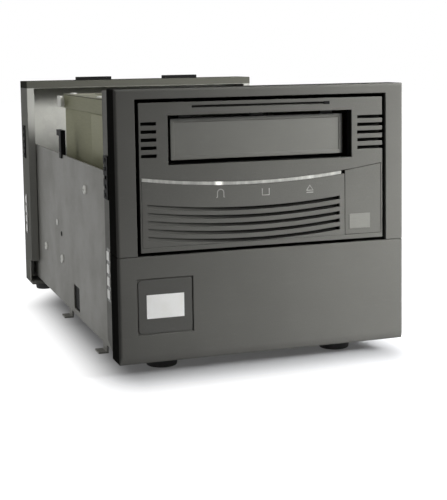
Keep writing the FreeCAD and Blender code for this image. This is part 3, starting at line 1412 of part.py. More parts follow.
def make_fan():
    """Fan on the pan's inside, its rotor on a shaft, and a ring guard outside."""
    up = TOP - size.fan_drop
    over = size.cut_over
    ys = (PAN_INNER - size.fan_depth, PAN_INNER)
    case = box("fan_case", around(FAN_X, size.fan_size), ys, around(up, size.fan_size))
    bore_at = (FAN_X, ys[0] - over, up)
    bore = rod("fan_opening", bore_at, size.fan_bore, size.fan_depth + over * 2, "y")
    plate_y = PAN_INNER - size.fan_plate
    arm_length = (size.fan_bore + over) * 2
    arm_ys = (plate_y, PAN_INNER)
    pieces = [
        cut("fan_ring", case, [bore]),
        rod("fan_plate_disc", (FAN_X, plate_y, up), size.fan_hub, size.fan_plate, "y"),
        box("fan_arm_level", around(FAN_X, arm_length), arm_ys, around(up, size.fan_plate)),
        box("fan_arm_upright", around(FAN_X, size.fan_plate), arm_ys, around(up, arm_length)),
    ]
    solid = fuse("fan_solid", pieces)
    shaft_bore = rod(
        "fan_shaft_bore", (FAN_X, plate_y - over, up), size.fan_shaft + size.turn_fit,
        size.fan_plate + over * 2, "y",
    )
    node(cut("fan_frame", solid, [shaft_bore]))
    hub_ys = (ys[0] + size.fan_gap, plate_y - size.fan_gap)
    rotor = [
        rod("rotor_hub", (FAN_X, hub_ys[0], up), size.fan_hub, hub_ys[1] - hub_ys[0], "y"),
        rod("rotor_shaft", (FAN_X, hub_ys[1], up), size.fan_shaft, PAN_INNER - hub_ys[1], "y"),
    ]
    blades = count(size.blade_count)
    root = size.fan_hub - over
    length = size.fan_bore - size.fan_tip - root
    middle_y = (hub_ys[0] + hub_ys[1]) / 2
    for index in range(blades):
        turn = Rotation(Vector(0, 1, 0), 360 * index / blades)
        turn = turn.multiply(Rotation(Vector(1, 0, 0), size.blade_pitch.number))
        blade = DOC.addObject("Part::Box", f"rotor_blade_{index}")
        bind(blade, "Length", length)
        bind(blade, "Width", size.blade_chord)
        bind(blade, "Height", size.blade_sheet)
        way_x = turn.multVec(Vector(1, 0, 0))
        way_y = turn.multVec(Vector(0, 1, 0))
        way_z = turn.multVec(Vector(0, 0, 1))
        corner = [
            root * x_part - size.blade_chord / 2 * y_part - size.blade_sheet / 2 * z_part
            for x_part, y_part, z_part in zip(way_x, way_y, way_z)
        ]
        at = (FAN_X + corner[0], middle_y + corner[1], up + corner[2])
        rotor.append(place(blade, at, turn))
    node(fuse("fan_rotor", rotor))
    rings = [rod("guard_boss", (FAN_X, PAN_BACK, up), size.guard_pitch / 2, size.guard_wire, "y")]
    for index in range(1, count(size.guard_count) + 1):
        radius = size.guard_pitch * index + size.guard_pitch / 2
        at = (FAN_X, PAN_BACK, up)
        outer = rod(f"guard_outer_{index}", at, radius + size.guard_wire / 2, size.guard_wire, "y")
        inner = rod(f"guard_inner_{index}", at, radius - size.guard_wire / 2, size.guard_wire, "y")
        rings.append(cut(f"guard_ring_{index}", outer, [inner]))
    spoke = size.fan_bore + size.guard_wire * 2
    guard_ys = (PAN_BACK, PAN_BACK + size.guard_wire)
    level = around(up, size.guard_wire)
    rings.append(box("guard_level", around(FAN_X, spoke * 2), guard_ys, level))
    upright = around(FAN_X, size.guard_wire)
    rings.append(box("guard_upright", upright, guard_ys, around(up, spoke * 2)))
    node(fuse("fan_guard", rings))


def fitting(name, across, up, width, height, depth):
    """Rim outside the pan and body inside it, for a fitting that goes in a rectangular hole."""
    lap = size.rim_reach * 2
    rim = box(
        f"{name}_rim", around(across, width + lap), (PAN_BACK, PAN_BACK + size.rim_sheet),
        around(up, height + lap),
    )
    body_width = width - size.fit * 2
    body_height = height - size.fit * 2
    core = box(
        f"{name}_core", around(across, body_width), (PAN_INNER - depth, PAN_BACK), around(up, body_height),
    )
    return fuse(f"{name}_solid", [rim, core])


def make_ac_inlet():
    """Mains inlet: a socket with three pins."""
    up = BASE + size.inlet_rise
    solid = fitting("inlet", size.inlet_side, up, size.inlet_width, size.inlet_height, size.inlet_depth)
    rim = size.inlet_rim * 2
    floor = PAN_INNER - size.inlet_depth + size.inlet_rim * 2
    face = PAN_BACK + size.rim_sheet
    mouth = box(
        "inlet_mouth", around(size.inlet_side, size.inlet_width - rim), (floor, face + size.cut_over),
        around(up, size.inlet_height - rim),
    )
    pieces = [cut("inlet_socket", solid, [mouth])]
    for step in (-1, 0, 1):
        lift = size.inlet_pitch / 3 * (1 if step == 0 else -1)
        pieces.append(box(
            f"inlet_pin_{step + 1}", around(size.inlet_side + size.inlet_pitch * step, size.inlet_pin),
            (floor, PAN_BACK - size.inlet_sink), around(up + lift, size.inlet_pin * 3),
        ))
    node(fuse("ac_inlet", pieces))


def make_power_switch():
    """Power switch, with a rocker that rests tipped to one side."""
    up = BASE + size.inlet_rise
    solid = fitting("power", size.switch_side, up, size.switch_wide, size.switch_tall, size.switch_in)
    room = size.rocker_room
    pivot_y = PAN_BACK
    well = box(
        "power_well", around(size.switch_side, size.rocker_width + room),
        (pivot_y - size.rocker_in - room * 2, PAN_BACK + size.rim_sheet + size.cut_over),
        around(up, size.rocker_half * 2 + room * 2),
    )
    axle_radius = size.fan_shaft
    axle_span = around(size.switch_side, size.switch_wide - size.rim_reach)
    axle = rod("power_axle", (axle_span[0], pivot_y, up), axle_radius, axle_span[1] - axle_span[0], "x")
    node(fuse("power_switch", [cut("power_case", solid, [well]), axle]))
    part = solid_body("rocker_key")
    half = size.rocker_half
    outline = [
        (-size.rocker_in, -half), (-size.rocker_in, half), (size.rocker_out, half),
        (size.rocker_mid + axle_radius, 0), (size.rocker_out, -half),
    ]
    profile = sketch(part, "rocker_profile", "YZ", -size.rocker_width / 2, [outline])
    pad(part, profile, size.rocker_width)
    tilt = Rotation(Vector(1, 0, 0), -size.rocker_tilt.number)
    place(part, (size.switch_side, pivot_y, up), tilt)
    bore_at = (size.switch_side - size.rocker_width, pivot_y, up)
    bore = rod("rocker_bore", bore_at, axle_radius + size.turn_fit, size.rocker_width * 2, "x")
    node(cut("power_rocker", part, [bore]))


def make_data_connectors():
    """Two data connectors on one board, their shells outside the pan, and the screws beside them."""
    over = size.cut_over
    connectors = []
    screws = []
    for step in range(2):
        up = TOP - size.connector_drop + size.connector_pitch * step
        face = PAN_BACK + size.rim_sheet
        flange = box(
            f"data_flange_{step}", around(size.data_side, size.connector_flange), (PAN_BACK, face),
            around(up, size.connector_tall),
        )
        shell_wide = size.shell_width - size.fit * 2
        shell_tall = size.shell_height - size.fit * 2
        shell = box(
            f"data_shell_{step}", around(size.data_side, shell_wide),
            (PAN_INNER - size.connector_in, PAN_BACK + size.shell_reach), around(up, shell_tall),
        )
        wall = size.shell_wall * 2
        mouth = box(
            f"data_mouth_{step}", around(size.data_side, shell_wide - wall),
            (PAN_BACK, PAN_BACK + size.shell_reach + over), around(up, shell_tall - wall),
        )
        tongue = box(
            f"data_tongue_{step}", around(size.data_side, shell_wide - wall * 3),
            (PAN_INNER, PAN_BACK + size.shell_reach - size.shell_wall), around(up, size.shell_wall * 2.5),
        )
        hollow = cut(f"data_hollow_{step}", fuse(f"data_solid_{step}", [flange, shell]), [mouth])
        connectors.append(fuse(f"data_connector_{step}", [hollow, tongue]))
        for side in SIDES:
            at = (size.data_side + size.jack_spread / 2 * side, face, up)
            length = BACK - face
            post = rod(f"jack_post_{len(screws)}", at, size.jack_radius, length, "y")
            bore_at = (at[0], face + size.sheet, up)
            bore = rod(f"jack_bore_{len(screws)}", bore_at, size.jack_bore, length, "y")
            screws.append(cut(f"jack_{len(screws)}", post, [bore]))
    node(group("data_connectors", connectors))
    node(group("jack_screws", screws))
    board_tall = size.connector_pitch + size.connector_tall * 2
    node(box(
        "connector_board", around(size.data_side, size.connector_flange),
        (CONNECTOR_BOARD_Y, CONNECTOR_BOARD_Y + size.board_sheet), around(CONNECTOR_MID_Z, board_tall),
    ))


def make_id_selector():
    """Number selector with a button above and a button below its window."""
    up = BASE + size.id_rise
    solid = fitting("selector", size.id_side, up, size.id_width, size.id_height, size.id_depth)
    face = PAN_BACK + size.rim_sheet
    gap = size.id_button_gap * 2
    floor = face - size.id_button_in - size.id_travel - size.id_button_gap
    cutters = []
    window_tall = size.id_button_spread * 2 - size.id_button_height - size.rim_reach * 2
    cutters.append(box(
        "selector_window", around(size.id_side, size.id_button_width),
        (face - size.rim_reach, face + size.cut_over), around(up, window_tall),
    ))
    for name, side in (("id_up_button", 1), ("id_down_button", -1)):
        middle = up + size.id_button_spread * side
        cutters.append(box(
            f"{name}_hole", around(size.id_side, size.id_button_width + gap),
            (floor, face + size.cut_over), around(middle, size.id_button_height + gap),
        ))
        node(box(
            name, around(size.id_side, size.id_button_width),
            (face - size.id_button_in, face + size.id_button_reach), around(middle, size.id_button_height),
        ))
    node(cut("id_selector", solid, cutters))


# Cables

def make_cables():
    """Ribbon cable from the drive to the rear board, and the two cable bundles of the power supply."""
    start_y = DRIVE_REAR + size.socket_reach
    half = size.ribbon_sheet / 2
    run = size.ribbon_run
    path = [
        (start_y, SOCKET_MID), (start_y + run, SOCKET_MID),
        (CONNECTOR_BOARD_Y - run, CONNECTOR_MID_Z), (CONNECTOR_BOARD_Y, CONNECTOR_MID_Z),
    ]
    over_edge = [(along_y, up + half) for along_y, up in path]
    under_edge = [(along_y, up - half) for along_y, up in reversed(path)]
    part = solid_body("data_ribbon")
    left = size.data_side - size.ribbon_width / 2
    pad(part, sketch(part, "ribbon_profile", "YZ", left, [over_edge + under_edge]), size.ribbon_width)
    node(part)
    exit_z = TRAY_FLOOR + size.harness_rise
    loop_y = start_y + size.harness_run
    feed = tube("power_harness", [
        (size.power_side, SUPPLY_Y[1], exit_z), (size.power_side, loop_y, exit_z),
        (size.power_side, loop_y, SOCKET_MID), (size.power_side, start_y, SOCKET_MID),
    ], size.harness_radius)
    inlet_z = BASE + size.inlet_rise
    inlet_y = PAN_INNER - size.inlet_depth
    floor_z = TRAY_FLOOR + size.mains_rise
    lead = size.mains_run
    mains = tube("mains_harness", [
        (size.inlet_side, inlet_y, inlet_z), (size.inlet_side, inlet_y - lead, inlet_z),
        (size.inlet_side, inlet_y - lead * 2, floor_z), (size.inlet_side, SUPPLY_Y[1] + lead * 2, floor_z),
        (size.inlet_side, SUPPLY_Y[1] + lead, inlet_z), (size.inlet_side, SUPPLY_Y[1], inlet_z),
    ], size.harness_radius)
    node(group("power_wiring", [feed, mains]))


# Strips, feet and screws

def flange_places():
    """Outer side faces of the two flanges, with the middle of each along the depth and its fittings' lift."""
    front_mid = MOULD_BACK + size.flange_depth / 2
    return ((PLATE_X, front_mid, dim(0)), (PAN_X, PAN_FRONT + size.pan_depth / 2, size.rear_lift))


def make_contact_strips():
    """Bright strips with pressed beads on the sides of both flanges."""
    strips = []
    for face, middle_y, lift in flange_places():
        low = BASE + size.strip_rise + lift
        for side in SIDES:
            ys = around(middle_y, size.strip_width)
            xs = mirrored(side, face, face + size.strip_sheet)
            pieces = [box(f"strip_back_{len(strips)}", xs, ys, (low, low + size.strip_length))]
            bead_xs = mirrored(side, face, face + size.strip_sheet + size.bead_reach)
            for index in range(count(size.bead_count)):
                bead_mid = low + size.strip_length / 2
                bead_mid = bead_mid + size.bead_pitch * (index - (count(size.bead_count) - 1) / 2)
                pieces.append(box(
                    f"strip_bead_{len(strips)}_{index}", bead_xs, around(middle_y, size.strip_width * 0.7),
                    around(bead_mid, size.bead_length),
                ))
            strips.append(fuse(f"strip_{len(strips)}", pieces))
    node(group("contact_strips", strips))


def make_flange_clips():
    """Dark slotted clips on the sides of both flanges, and two tabs on the pan's top."""
    clips = []
    over = size.cut_over
    for face, middle_y, lift in flange_places():
        low = BASE + size.clip_rise + lift
        for side in SIDES:
            index = len(clips)
            xs = mirrored(side, face, face + size.clip_sheet)
            ys = around(middle_y, size.strip_width)
            block = box(f"clip_block_{index}", xs, ys, (low, low + size.clip_length))
            slots = []
            slot_count = count(size.clip_count)
            for slot in range(slot_count):
                slot_mid = low + size.clip_length / 2 + size.clip_pitch * (slot - (slot_count - 1) / 2)
                slots.append(box(
                    f"clip_slot_{index}_{slot}", mirrored(side, face - over, face + size.clip_sheet + over),
                    around(middle_y, size.strip_width / 2), around(slot_mid, size.clip_slot),
                ))
            clips.append(cut(f"clip_{index}", block, slots))
    tab_y = PAN_FRONT + size.pan_depth / 2
    for side in SIDES:
        clips.append(box(
            f"top_tab_{len(clips)}", around(size.tab_side * side, size.tab_length),
            around(tab_y, size.strip_width), (TOP, TOP + size.tab_height),
        ))
    node(group("flange_clips", clips))


def make_feet():
    """Tapered rubber feet: a larger pair under the tray in front, a smaller pair under the rear pan."""
    feet = []
    places = (
        (size.foot_radius, HALF - size.foot_side, FRONT + size.foot_back, TRAY_LOW),
        (size.rear_foot_radius, PAN_X - size.rear_foot_side, PAN_BACK - size.rear_foot_back, PAN_LOW),
    )
    for radius, across, along_y, height in places:
        for side in SIDES:
            foot = DOC.addObject("Part::Cone", f"foot_{len(feet)}")
            bind(foot, "Radius1", radius - size.foot_taper)
            bind(foot, "Radius2", radius)
            bind(foot, "Height", height)
            feet.append(place(foot, (across * side, along_y, dim(0))))
    node(group("feet", feet))


def make_screws():
    """Screw heads on the outside of the tray's walls."""
    heads = []
    rail_y = FRONT + size.rail_front + size.spacer_front
    side_z = BASE + size.screw_rise
    places = (
        (FRONT + size.screw_back, side_z), (FRONT + size.screw_back + size.screw_pitch, side_z),
        (rail_y, DRIVE_LOW + size.spacer_rise),
    )
    for side in SIDES:
        start, end = mirrored(side, TRAY_X, TRAY_X + size.screw_head)
        for along_y, up in places:
            at = (start, along_y, up)
            heads.append(rod(f"screw_{len(heads)}", at, size.screw_radius, end - start, "x"))
    node(group("screws", heads))


def build():
    """Make every piece."""
    make_front_frame()
    make_lower_panel()
    make_badge()
    make_drive_bezel()
    make_insert()
    make_light_bar()
    make_eject_button()
    make_indicator_board()
    make_cartridge_door()
    make_drive_base()
    make_drive_covers()
    make_receiver()
    make_motors()
    make_supply()
    make_takeup()
    make_rollers()
    make_head()
    make_drive_board()
    make_chassis_tray()
    make_front_plate()
    make_drive_rails()
    make_power_supply()
    make_rear_pan()
    make_fan()
    make_ac_inlet()
    make_power_switch()
    make_data_connectors()
    make_id_selector()
    make_cables()
    make_contact_strips()
    make_flange_clips()
    make_feet()
    make_screws()
    DOC.recompute()


def check():
    """Stop if any object failed, or any piece has no valid solid."""
    for item in DOC.Objects:
        if "Invalid" in item.State or "Error" in item.State:
            raise RuntimeError(f"{item.Name} failed: {item.State}")
    for item in NODES:
        shape = item.Shape
        if shape.isNull() or not shape.isValid() or not shape.Solids:
            raise RuntimeError(f"{item.Label} has no valid solid")


def write():
    """Write each piece to its own file."""
    os.makedirs("parts", exist_ok=True)
    for item in NODES:
        item.Shape.exportStep(f"parts/{item.Label}.step")
    print(len(NODES), "pieces")


build()
check()
write()
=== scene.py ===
"""Dressed model of a rack tape drive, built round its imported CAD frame."""
from __future__ import annotations

import json
import logging
import math
from dataclasses import dataclass, field
from enum import Enum
from typing import Iterable, Mapping, Sequence, Union

import bmesh
import bpy
from mathutils import Matrix, Vector

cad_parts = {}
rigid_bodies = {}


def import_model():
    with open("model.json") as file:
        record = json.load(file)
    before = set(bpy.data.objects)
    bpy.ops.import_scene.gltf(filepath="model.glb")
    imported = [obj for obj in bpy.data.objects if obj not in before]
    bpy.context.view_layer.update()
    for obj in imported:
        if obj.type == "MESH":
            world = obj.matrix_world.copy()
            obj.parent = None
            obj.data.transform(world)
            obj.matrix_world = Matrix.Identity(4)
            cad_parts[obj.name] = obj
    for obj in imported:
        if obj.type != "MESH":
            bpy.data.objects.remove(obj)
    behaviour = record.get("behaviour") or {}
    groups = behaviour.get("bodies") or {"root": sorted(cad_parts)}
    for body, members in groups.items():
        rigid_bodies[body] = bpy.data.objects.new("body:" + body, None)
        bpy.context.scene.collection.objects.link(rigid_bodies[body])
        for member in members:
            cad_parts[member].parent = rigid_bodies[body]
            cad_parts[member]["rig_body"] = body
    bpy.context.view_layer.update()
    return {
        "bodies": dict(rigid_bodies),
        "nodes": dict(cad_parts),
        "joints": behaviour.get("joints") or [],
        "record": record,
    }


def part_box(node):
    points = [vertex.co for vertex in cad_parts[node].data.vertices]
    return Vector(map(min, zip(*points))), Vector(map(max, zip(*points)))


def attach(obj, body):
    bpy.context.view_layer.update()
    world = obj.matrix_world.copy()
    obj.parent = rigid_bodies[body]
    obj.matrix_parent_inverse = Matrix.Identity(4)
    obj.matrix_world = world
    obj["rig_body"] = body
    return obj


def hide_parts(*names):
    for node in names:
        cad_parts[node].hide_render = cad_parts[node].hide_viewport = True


LOG = logging.getLogger("rack_tape_drive")
MM = 0.001
QUARTER = math.pi / 2
ORIGIN = (0.0, 0.0, 0.0)
EVEN = (1.0, 1.0, 1.0)
# A coordinate beyond the object on every axis, in metres
FAR = 1.0
# Angles in degrees up to which pieces and screw heads shade smooth
SMOOTH = 38.0
HEAD_SMOOTH = 30.0

Tone = tuple[float, float, float]
Point = tuple[float, float, float]
Span = tuple[float, float]
Sockets = dict[Union[str, int], object]
Mesh = bpy.types.Mesh
Work = bmesh.types.BMesh


class Axis(Enum):
    """One coordinate of a place."""

    X = "X"
    Y = "Y"
    Z = "Z"


class Facing(Enum):
    """Which way a screw's head faces, as a turn from upright."""

    LEFT = (0.0, -QUARTER, 0.0)
    RIGHT = (0.0, QUARTER, 0.0)
    UP = ORIGIN


class Side(Enum):
    """Left or right of the object, seen from its front."""

    LEFT = -1
    RIGHT = 1


class Wire:
    """A node's output that takes part in Python sums."""

    def __init__(self, nodes: Nodes, socket: bpy.types.NodeSocket) -> None:
        """Remember the socket and the tree that it is in."""
        self.nodes = nodes
        self.socket = socket

    def _math(self, operation: str, first: Value, second: Value = 0.0) -> Wire:
        """The result of one Math node on two values."""
        return self.nodes.node("ShaderNodeMath", {"operation": operation}, {0: first, 1: second})

    def __add__(self, other: Value) -> Wire:
        """Sum of the two."""
        return self._math("ADD", self, other)

    __radd__ = __add__

    def __sub__(self, other: Value) -> Wire:
        """This less the other."""
        return self._math("SUBTRACT", self, other)

    def __rsub__(self, other: Value) -> Wire:
        """The other less this."""
        return self._math("SUBTRACT", other, self)

    def __mul__(self, other: Value) -> Wire:
        """Product of the two."""
        return self._math("MULTIPLY", self, other)

    __rmul__ = __mul__

    def __truediv__(self, other: Value) -> Wire:
        """This over the other."""
        return self._math("DIVIDE", self, other)

    def __rtruediv__(self, other: Value) -> Wire:
        """The other over this."""
        return self._math("DIVIDE", other, self)

    def __abs__(self) -> Wire:
        """Distance from nought."""
        return self._math("ABSOLUTE", self)

    def fraction(self) -> Wire:
        """What is over a whole number."""
        return self._math("FRACT", self)

    def over(self, limit: Value) -> Wire:
        """One where this is over the limit, else nought."""
        return self._math("GREATER_THAN", self, limit)

    def between(self, low: float, high: float) -> Wire:
        """Rise from nought at low to one at high, eased, and stay there."""
        values = {"Value": self, "From Min": low, "From Max": high}
        return self.nodes.node("ShaderNodeMapRange", {"interpolation_type": "SMOOTHSTEP"}, values)

    def part(self, name: str) -> Wire:
        """Another output of the same node."""
        return Wire(self.nodes, self.nodes.socket(self.socket.node.outputs, name))


Value = Union[Wire, float, int]


class Nodes:
    """Makes the nodes of one tree."""

    def __init__(self, tree: bpy.types.NodeTree) -> None:
        """Start with an empty tree."""
        self.tree = tree
        tree.nodes.clear()

    @staticmethod
    def socket(pool: Iterable[bpy.types.NodeSocket], key: str | int) -> bpy.types.NodeSocket:
        """Find a node's input or output by its place, identifier or name.

        Args:
            pool: The node's inputs or outputs.
            key: What it is found by.

        Returns:
            The socket.
        """
        sockets = list(pool)
        if isinstance(key, int):
            return sockets[key]
        exact = [item for item in sockets if item.identifier == key]
        return exact[0] if exact else next(item for item in sockets if item.name == key)

    def node(
        self, kind: str, settings: Mapping[str, object] | None = None,
        values: Mapping[str | int, object] | None = None, output: str | int = 0,
    ) -> Wire:
        """Make a node.

        Args:
            kind: The node's type.
            settings: Its own settings, set first.
            values: A number, colour or wire for each socket that is set.
            output: The output that is wanted.

        Returns:
            That output, or the first input of a node that has none.
        """
        made = self.tree.nodes.new(kind)
        for key, setting in (settings or {}).items():
            setattr(made, key, setting)
        for key, value in (values or {}).items():
            target = self.socket(made.inputs, key)
            if isinstance(value, Wire):
                self.tree.links.new(value.socket, target)
            elif target.type == "RGBA" and len(value) == 3:
                target.default_value = (*value, 1.0)
            else:
                target.default_value = value
        if len(made.outputs) == 0:
            return Wire(self, made.inputs[0])
        return Wire(self, self.socket(made.outputs, output))


class Graph(Nodes):
    """A material's nodes, with the textures that the finishes share."""

    def spot(self, stretch: Point = EVEN, turn: Point = ORIGIN) -> Wire:
        """Place on the piece, scaled and turned about each axis.

        Args:
            stretch: Scale on each axis.
            turn: Turn about each axis in radians.

        Returns:
            The place as a vector.
        """
        place = self.node("ShaderNodeTexCoord", output="Object")
        if stretch == EVEN and turn == ORIGIN:
            return place
        values = {"Vector": place, "Scale": stretch, "Rotation": turn}
        return self.node("ShaderNodeMapping", {"vector_type": "POINT"}, values)

    def noise(self, place: Wire, cell: float, detail: float = 2.0, rough: float = 0.5) -> Wire:
        """Cloudy variation about one half.

        Args:
            place: Where the texture is read.
            cell: Size of its cells in metres.
            detail: Levels of finer detail.
            rough: Strength of the finer detail.

        Returns:
            A share from nought to one.
        """
        values = {"Vector": place, "Scale": 1.0 / cell, "Detail": detail, "Roughness": rough}
        return self.node("ShaderNodeTexNoise", {}, values, "Fac")

    def cells(self, place: Wire, cell: float, output: str = "Distance") -> Wire:
        """An output of Voronoi cells of a size in metres."""
        return self.node("ShaderNodeTexVoronoi", {}, {"Vector": place, "Scale": 1.0 / cell}, output)

    def axis(self, place: Wire, axis: Axis) -> Wire:
        """One coordinate of a place."""
        return self.node("ShaderNodeSeparateXYZ", {}, {0: place}, axis.value)

    def repeat(self, place: Wire, axis: Axis, pitch: float) -> Wire:
        """Distance from the middle of each repeat along an axis, as a share of the pitch."""
        return abs((self.axis(place, axis) / pitch).fraction() - 0.5)

    def shaded(self, tone: Tone, factor: Wire) -> Wire:
        """A colour times a varying factor."""
        return self.node("ShaderNodeVectorMath", {"operation": "SCALE"}, {0: tone, "Scale": factor})

    def mixed(self, share: Value, first: object, second: object) -> Wire:
        """Blend two colours or wires by the share of the second.

        Args:
            share: Share of the second.
            first: The first colour.
            second: The second colour.

        Returns:
            The blend.
        """
        values = {"Factor_Float": share, "A_Color": first, "B_Color": second}
        settings = {"data_type": "RGBA", "clamp_factor": True}
        return self.node("ShaderNodeMix", settings, values, "Result_Color")

    def bump(self, height: Wire, strength: float, depth: float) -> Wire:
        """The normal of a relief of some strength and of a depth in metres."""
        return self.node("ShaderNodeBump", {}, {"Strength": strength, "Distance": depth, "Height": height})


@dataclass(frozen=True)
class Finish:
    """A surface finish: its colour, gloss and fine detail.

    Args:
        name: The material's name.
        tone: Its main colour, linear.
        rough: Its main roughness.
        metal: How metallic it is.
        shine: How strongly a surface that isn't metal mirrors.
    """

    name: str
    tone: Tone
    rough: float = 0.5
    metal: float = 0.0
    shine: float = 0.5

    def material(self) -> bpy.types.Material:
        """The finish as a material, made once.

        Returns:
            The material, new or found by its name.
        """
        label = f"{self.name}_finish"
        found = bpy.data.materials.get(label)
        if found is not None:
            return found
        made = bpy.data.materials.new(label)
        made.use_nodes = True
        graph = Graph(made.node_tree)
        values: Sockets = {"Metallic": self.metal, "Roughness": self.rough, "Specular IOR Level": self.shine}
        values.update(self.paint(graph))
        shader = graph.node("ShaderNodeBsdfPrincipled", {}, values)
        graph.node("ShaderNodeOutputMaterial", {}, {"Surface": shader})
        made.diffuse_color = (*self.tone, 1.0)
        return made

    def paint(self, graph: Graph) -> Sockets:
        """What varies over the surface, by shader socket."""
        raise NotImplementedError


@dataclass(frozen=True)
class Moulded(Finish):
    """Injection-moulded plastic with an etched grain.

    Args:
        grain: Size of the etched grain.
        relief: Strength of the grain's relief.
        mottle: Strength of grain and clouds in the colour.
        face: Y of the front face, behind which recesses and sides take painted shade.
        sink: Depths behind the face between which the painted shade fades in.
        roof: Height above which it takes painted shade.
        dim: How much darker the painted shade makes it.
    """

    grain: float = 0.5 * MM
    relief: float = 0.25
    mottle: float = 0.16
    face: float = FAR
    sink: Span = (0.5 * MM, 2.6 * MM)
    roof: float = FAR
    dim: float = 0.84

    def paint(self, graph: Graph) -> Sockets:
        """Etched grain, faint clouds, handling marks, and painted shade behind the front face and above a
        height.

        Args:
            graph: The material's nodes.

        Returns:
            What the shader's sockets take.
        """
        place = graph.spot()
        # Painted shade: darker the deeper it lies behind the front face, and dark above a set height
        deep = (graph.axis(place, Axis.Y) - self.face).between(*self.sink)
        deep = deep + graph.axis(place, Axis.Z).over(self.roof)
        lit = 1.0 - deep.between(0.0, 1.0) * self.dim
        grain = graph.noise(place, self.grain, 2.0, 0.6)
        cloud = graph.noise(place, 28 * MM, 3.0)
        rub = graph.noise(graph.spot((1.0, 1.0, 4.0)), 9 * MM, 4.0, 0.65).between(0.52, 0.75)
        factor = 1.0 + (grain - 0.5) * self.mottle * 1.8 + (cloud - 0.5) * self.mottle
        return {
            "Base Color": graph.shaded(self.tone, (factor + rub * 0.05) * lit),
            "Roughness": self.rough + (grain - 0.5) * 0.16 - rub * 0.06,
            "Normal": graph.bump(grain, self.relief, 0.06 * MM),
        }


@dataclass(frozen=True)
class Plated(Finish):
    """Zinc-plated or bright sheet with rolling lines and a faint spangle.

    Args:
        spangle: Strength of the spangle.
        tint: Colour of its dull patches.
        side: Distance from the middle beyond which the outer faces take painted light.
        crown: Height above which the top takes painted shade.
        lip: Y in front of which the front lips take painted light and shade.
        outer: Painted colour of the outer faces, for the light that falls on them.
        upper: Painted colour of the top, for the shade on it.
        rim: Painted colour of the front lips, for the light and shade on them.
    """

    spangle: float = 0.1
    tint: Tone = (0.42, 0.42, 0.37)
    side: float = FAR
    crown: float = FAR
    lip: float = -FAR
    outer: Tone = (0.52, 0.52, 0.475)
    upper: Tone = (0.10, 0.10, 0.085)
    rim: Tone = (0.42, 0.42, 0.39)

    def paint(self, graph: Graph) -> Sockets:
        """Rolling lines, spangle, dull patches, fine scratches, and painted light and shade on the outer
        faces, top and front lips.

        Args:
            graph: The material's nodes.

        Returns:
            What the shader's sockets take.
        """
        place = graph.spot()
        # Masks for painted light and shade: the outer faces, the top and the front lips
        flank = abs(graph.axis(place, Axis.X)).over(self.side)
        roof = graph.axis(place, Axis.Z).over(self.crown)
        inside = graph.axis(place, Axis.Y).over(self.lip)
        lines = graph.noise(graph.spot((1.0, 0.06, 1.0)), 0.7 * MM, 3.0, 0.6)
        flake = graph.axis(graph.cells(place, 3.5 * MM, "Color"), Axis.X)
        dull = graph.noise(place, 35 * MM, 4.0, 0.55).between(0.35, 0.7)
        across = graph.spot((1.0, 0.05, 1.3), (0.5, 0.2, 0.3))
        scratch = graph.noise(across, 0.5 * MM, 1.0).between(0.72, 0.8)
        factor = 1.0 + (flake - 0.5) * self.spangle + (lines - 0.5) * 0.12 + scratch * 0.1
        worn = graph.mixed(dull * 0.45, graph.shaded(self.tone, factor), self.tint)
        painted_light_faces = graph.mixed(inside, self.rim, graph.mixed(flank, worn, self.outer))
        return {
            "Base Color": graph.mixed(roof, painted_light_faces, self.upper),
            "Metallic": self.metal * inside * (1.0 - (flank + roof).between(0.0, 1.0)),
            "Roughness": self.rough + (lines - 0.5) * 0.15 + dull * 0.1 + (flake - 0.5) * 0.08,
            "Normal": graph.bump(lines + scratch * 0.4, 0.12, 0.03 * MM),
        }


@dataclass(frozen=True)
class Chromated(Finish):
    """Chromate film over a casting or sheet: olive, drifting in hue.

    Args:
        drift: The hue that it drifts into.
        sand: Strength of a casting's grain.
        crown: Height above which the top takes painted shade.
        dim: How much darker the painted shade makes it there.
    """

    drift: Tone = (0.45, 0.43, 0.33)
    sand: float = 0.0
    crown: float = FAR
    dim: float = 0.65

    def paint(self, graph: Graph) -> Sockets:
        """Two hues that drift into each other over a fine grain, with painted shade on the top.

        Args:
            graph: The material's nodes.

        Returns:
            What the shader's sockets take.
        """
        place = graph.spot()
        hue = graph.noise(place, 40 * MM, 3.0, 0.5).between(0.3, 0.72)
        grain = graph.noise(place, 0.9 * MM, 3.0, 0.6)
        lines = graph.noise(graph.spot((1.0, 0.08, 1.0)), 0.8 * MM, 2.0)
        # Painted shade on the top, above the crown
        lit = 1.0 - graph.axis(place, Axis.Z).over(self.crown) * self.dim
        factor = (0.9 + grain * self.sand + lines * 0.2) * lit
        return {
            "Base Color": graph.mixed(hue, graph.shaded(self.tone, factor), graph.shaded(self.drift, factor)),
            "Roughness": self.rough + (grain - 0.5) * 0.2 + (hue - 0.5) * 0.08,
            "Normal": graph.bump(grain, 0.1 + self.sand, 0.05 * MM),
        }


@dataclass(frozen=True)
class Ground(Finish):
    """Ground, drawn or turned metal with fine tool lines, by the lines' stretch on each axis."""

    lay: Point = (0.05, 1.0, 1.0)

    def paint(self, graph: Graph) -> Sockets:
        """Tool lines along one way and light handling marks.

        Args:
            graph: The material's nodes.

        Returns:
            What the shader's sockets take.
        """
        lines = graph.noise(graph.spot(self.lay), 0.25 * MM, 2.0, 0.6)
        mark = graph.noise(graph.spot(), 6 * MM, 3.0).between(0.5, 0.8)
        return {
            "Base Color": graph.shaded(self.tone, 0.88 + lines * 0.24 - mark * 0.08),
            "Roughness": self.rough + (lines - 0.5) * 0.16 + mark * 0.1,
            "Normal": graph.bump(lines, 0.12, 0.02 * MM),
        }


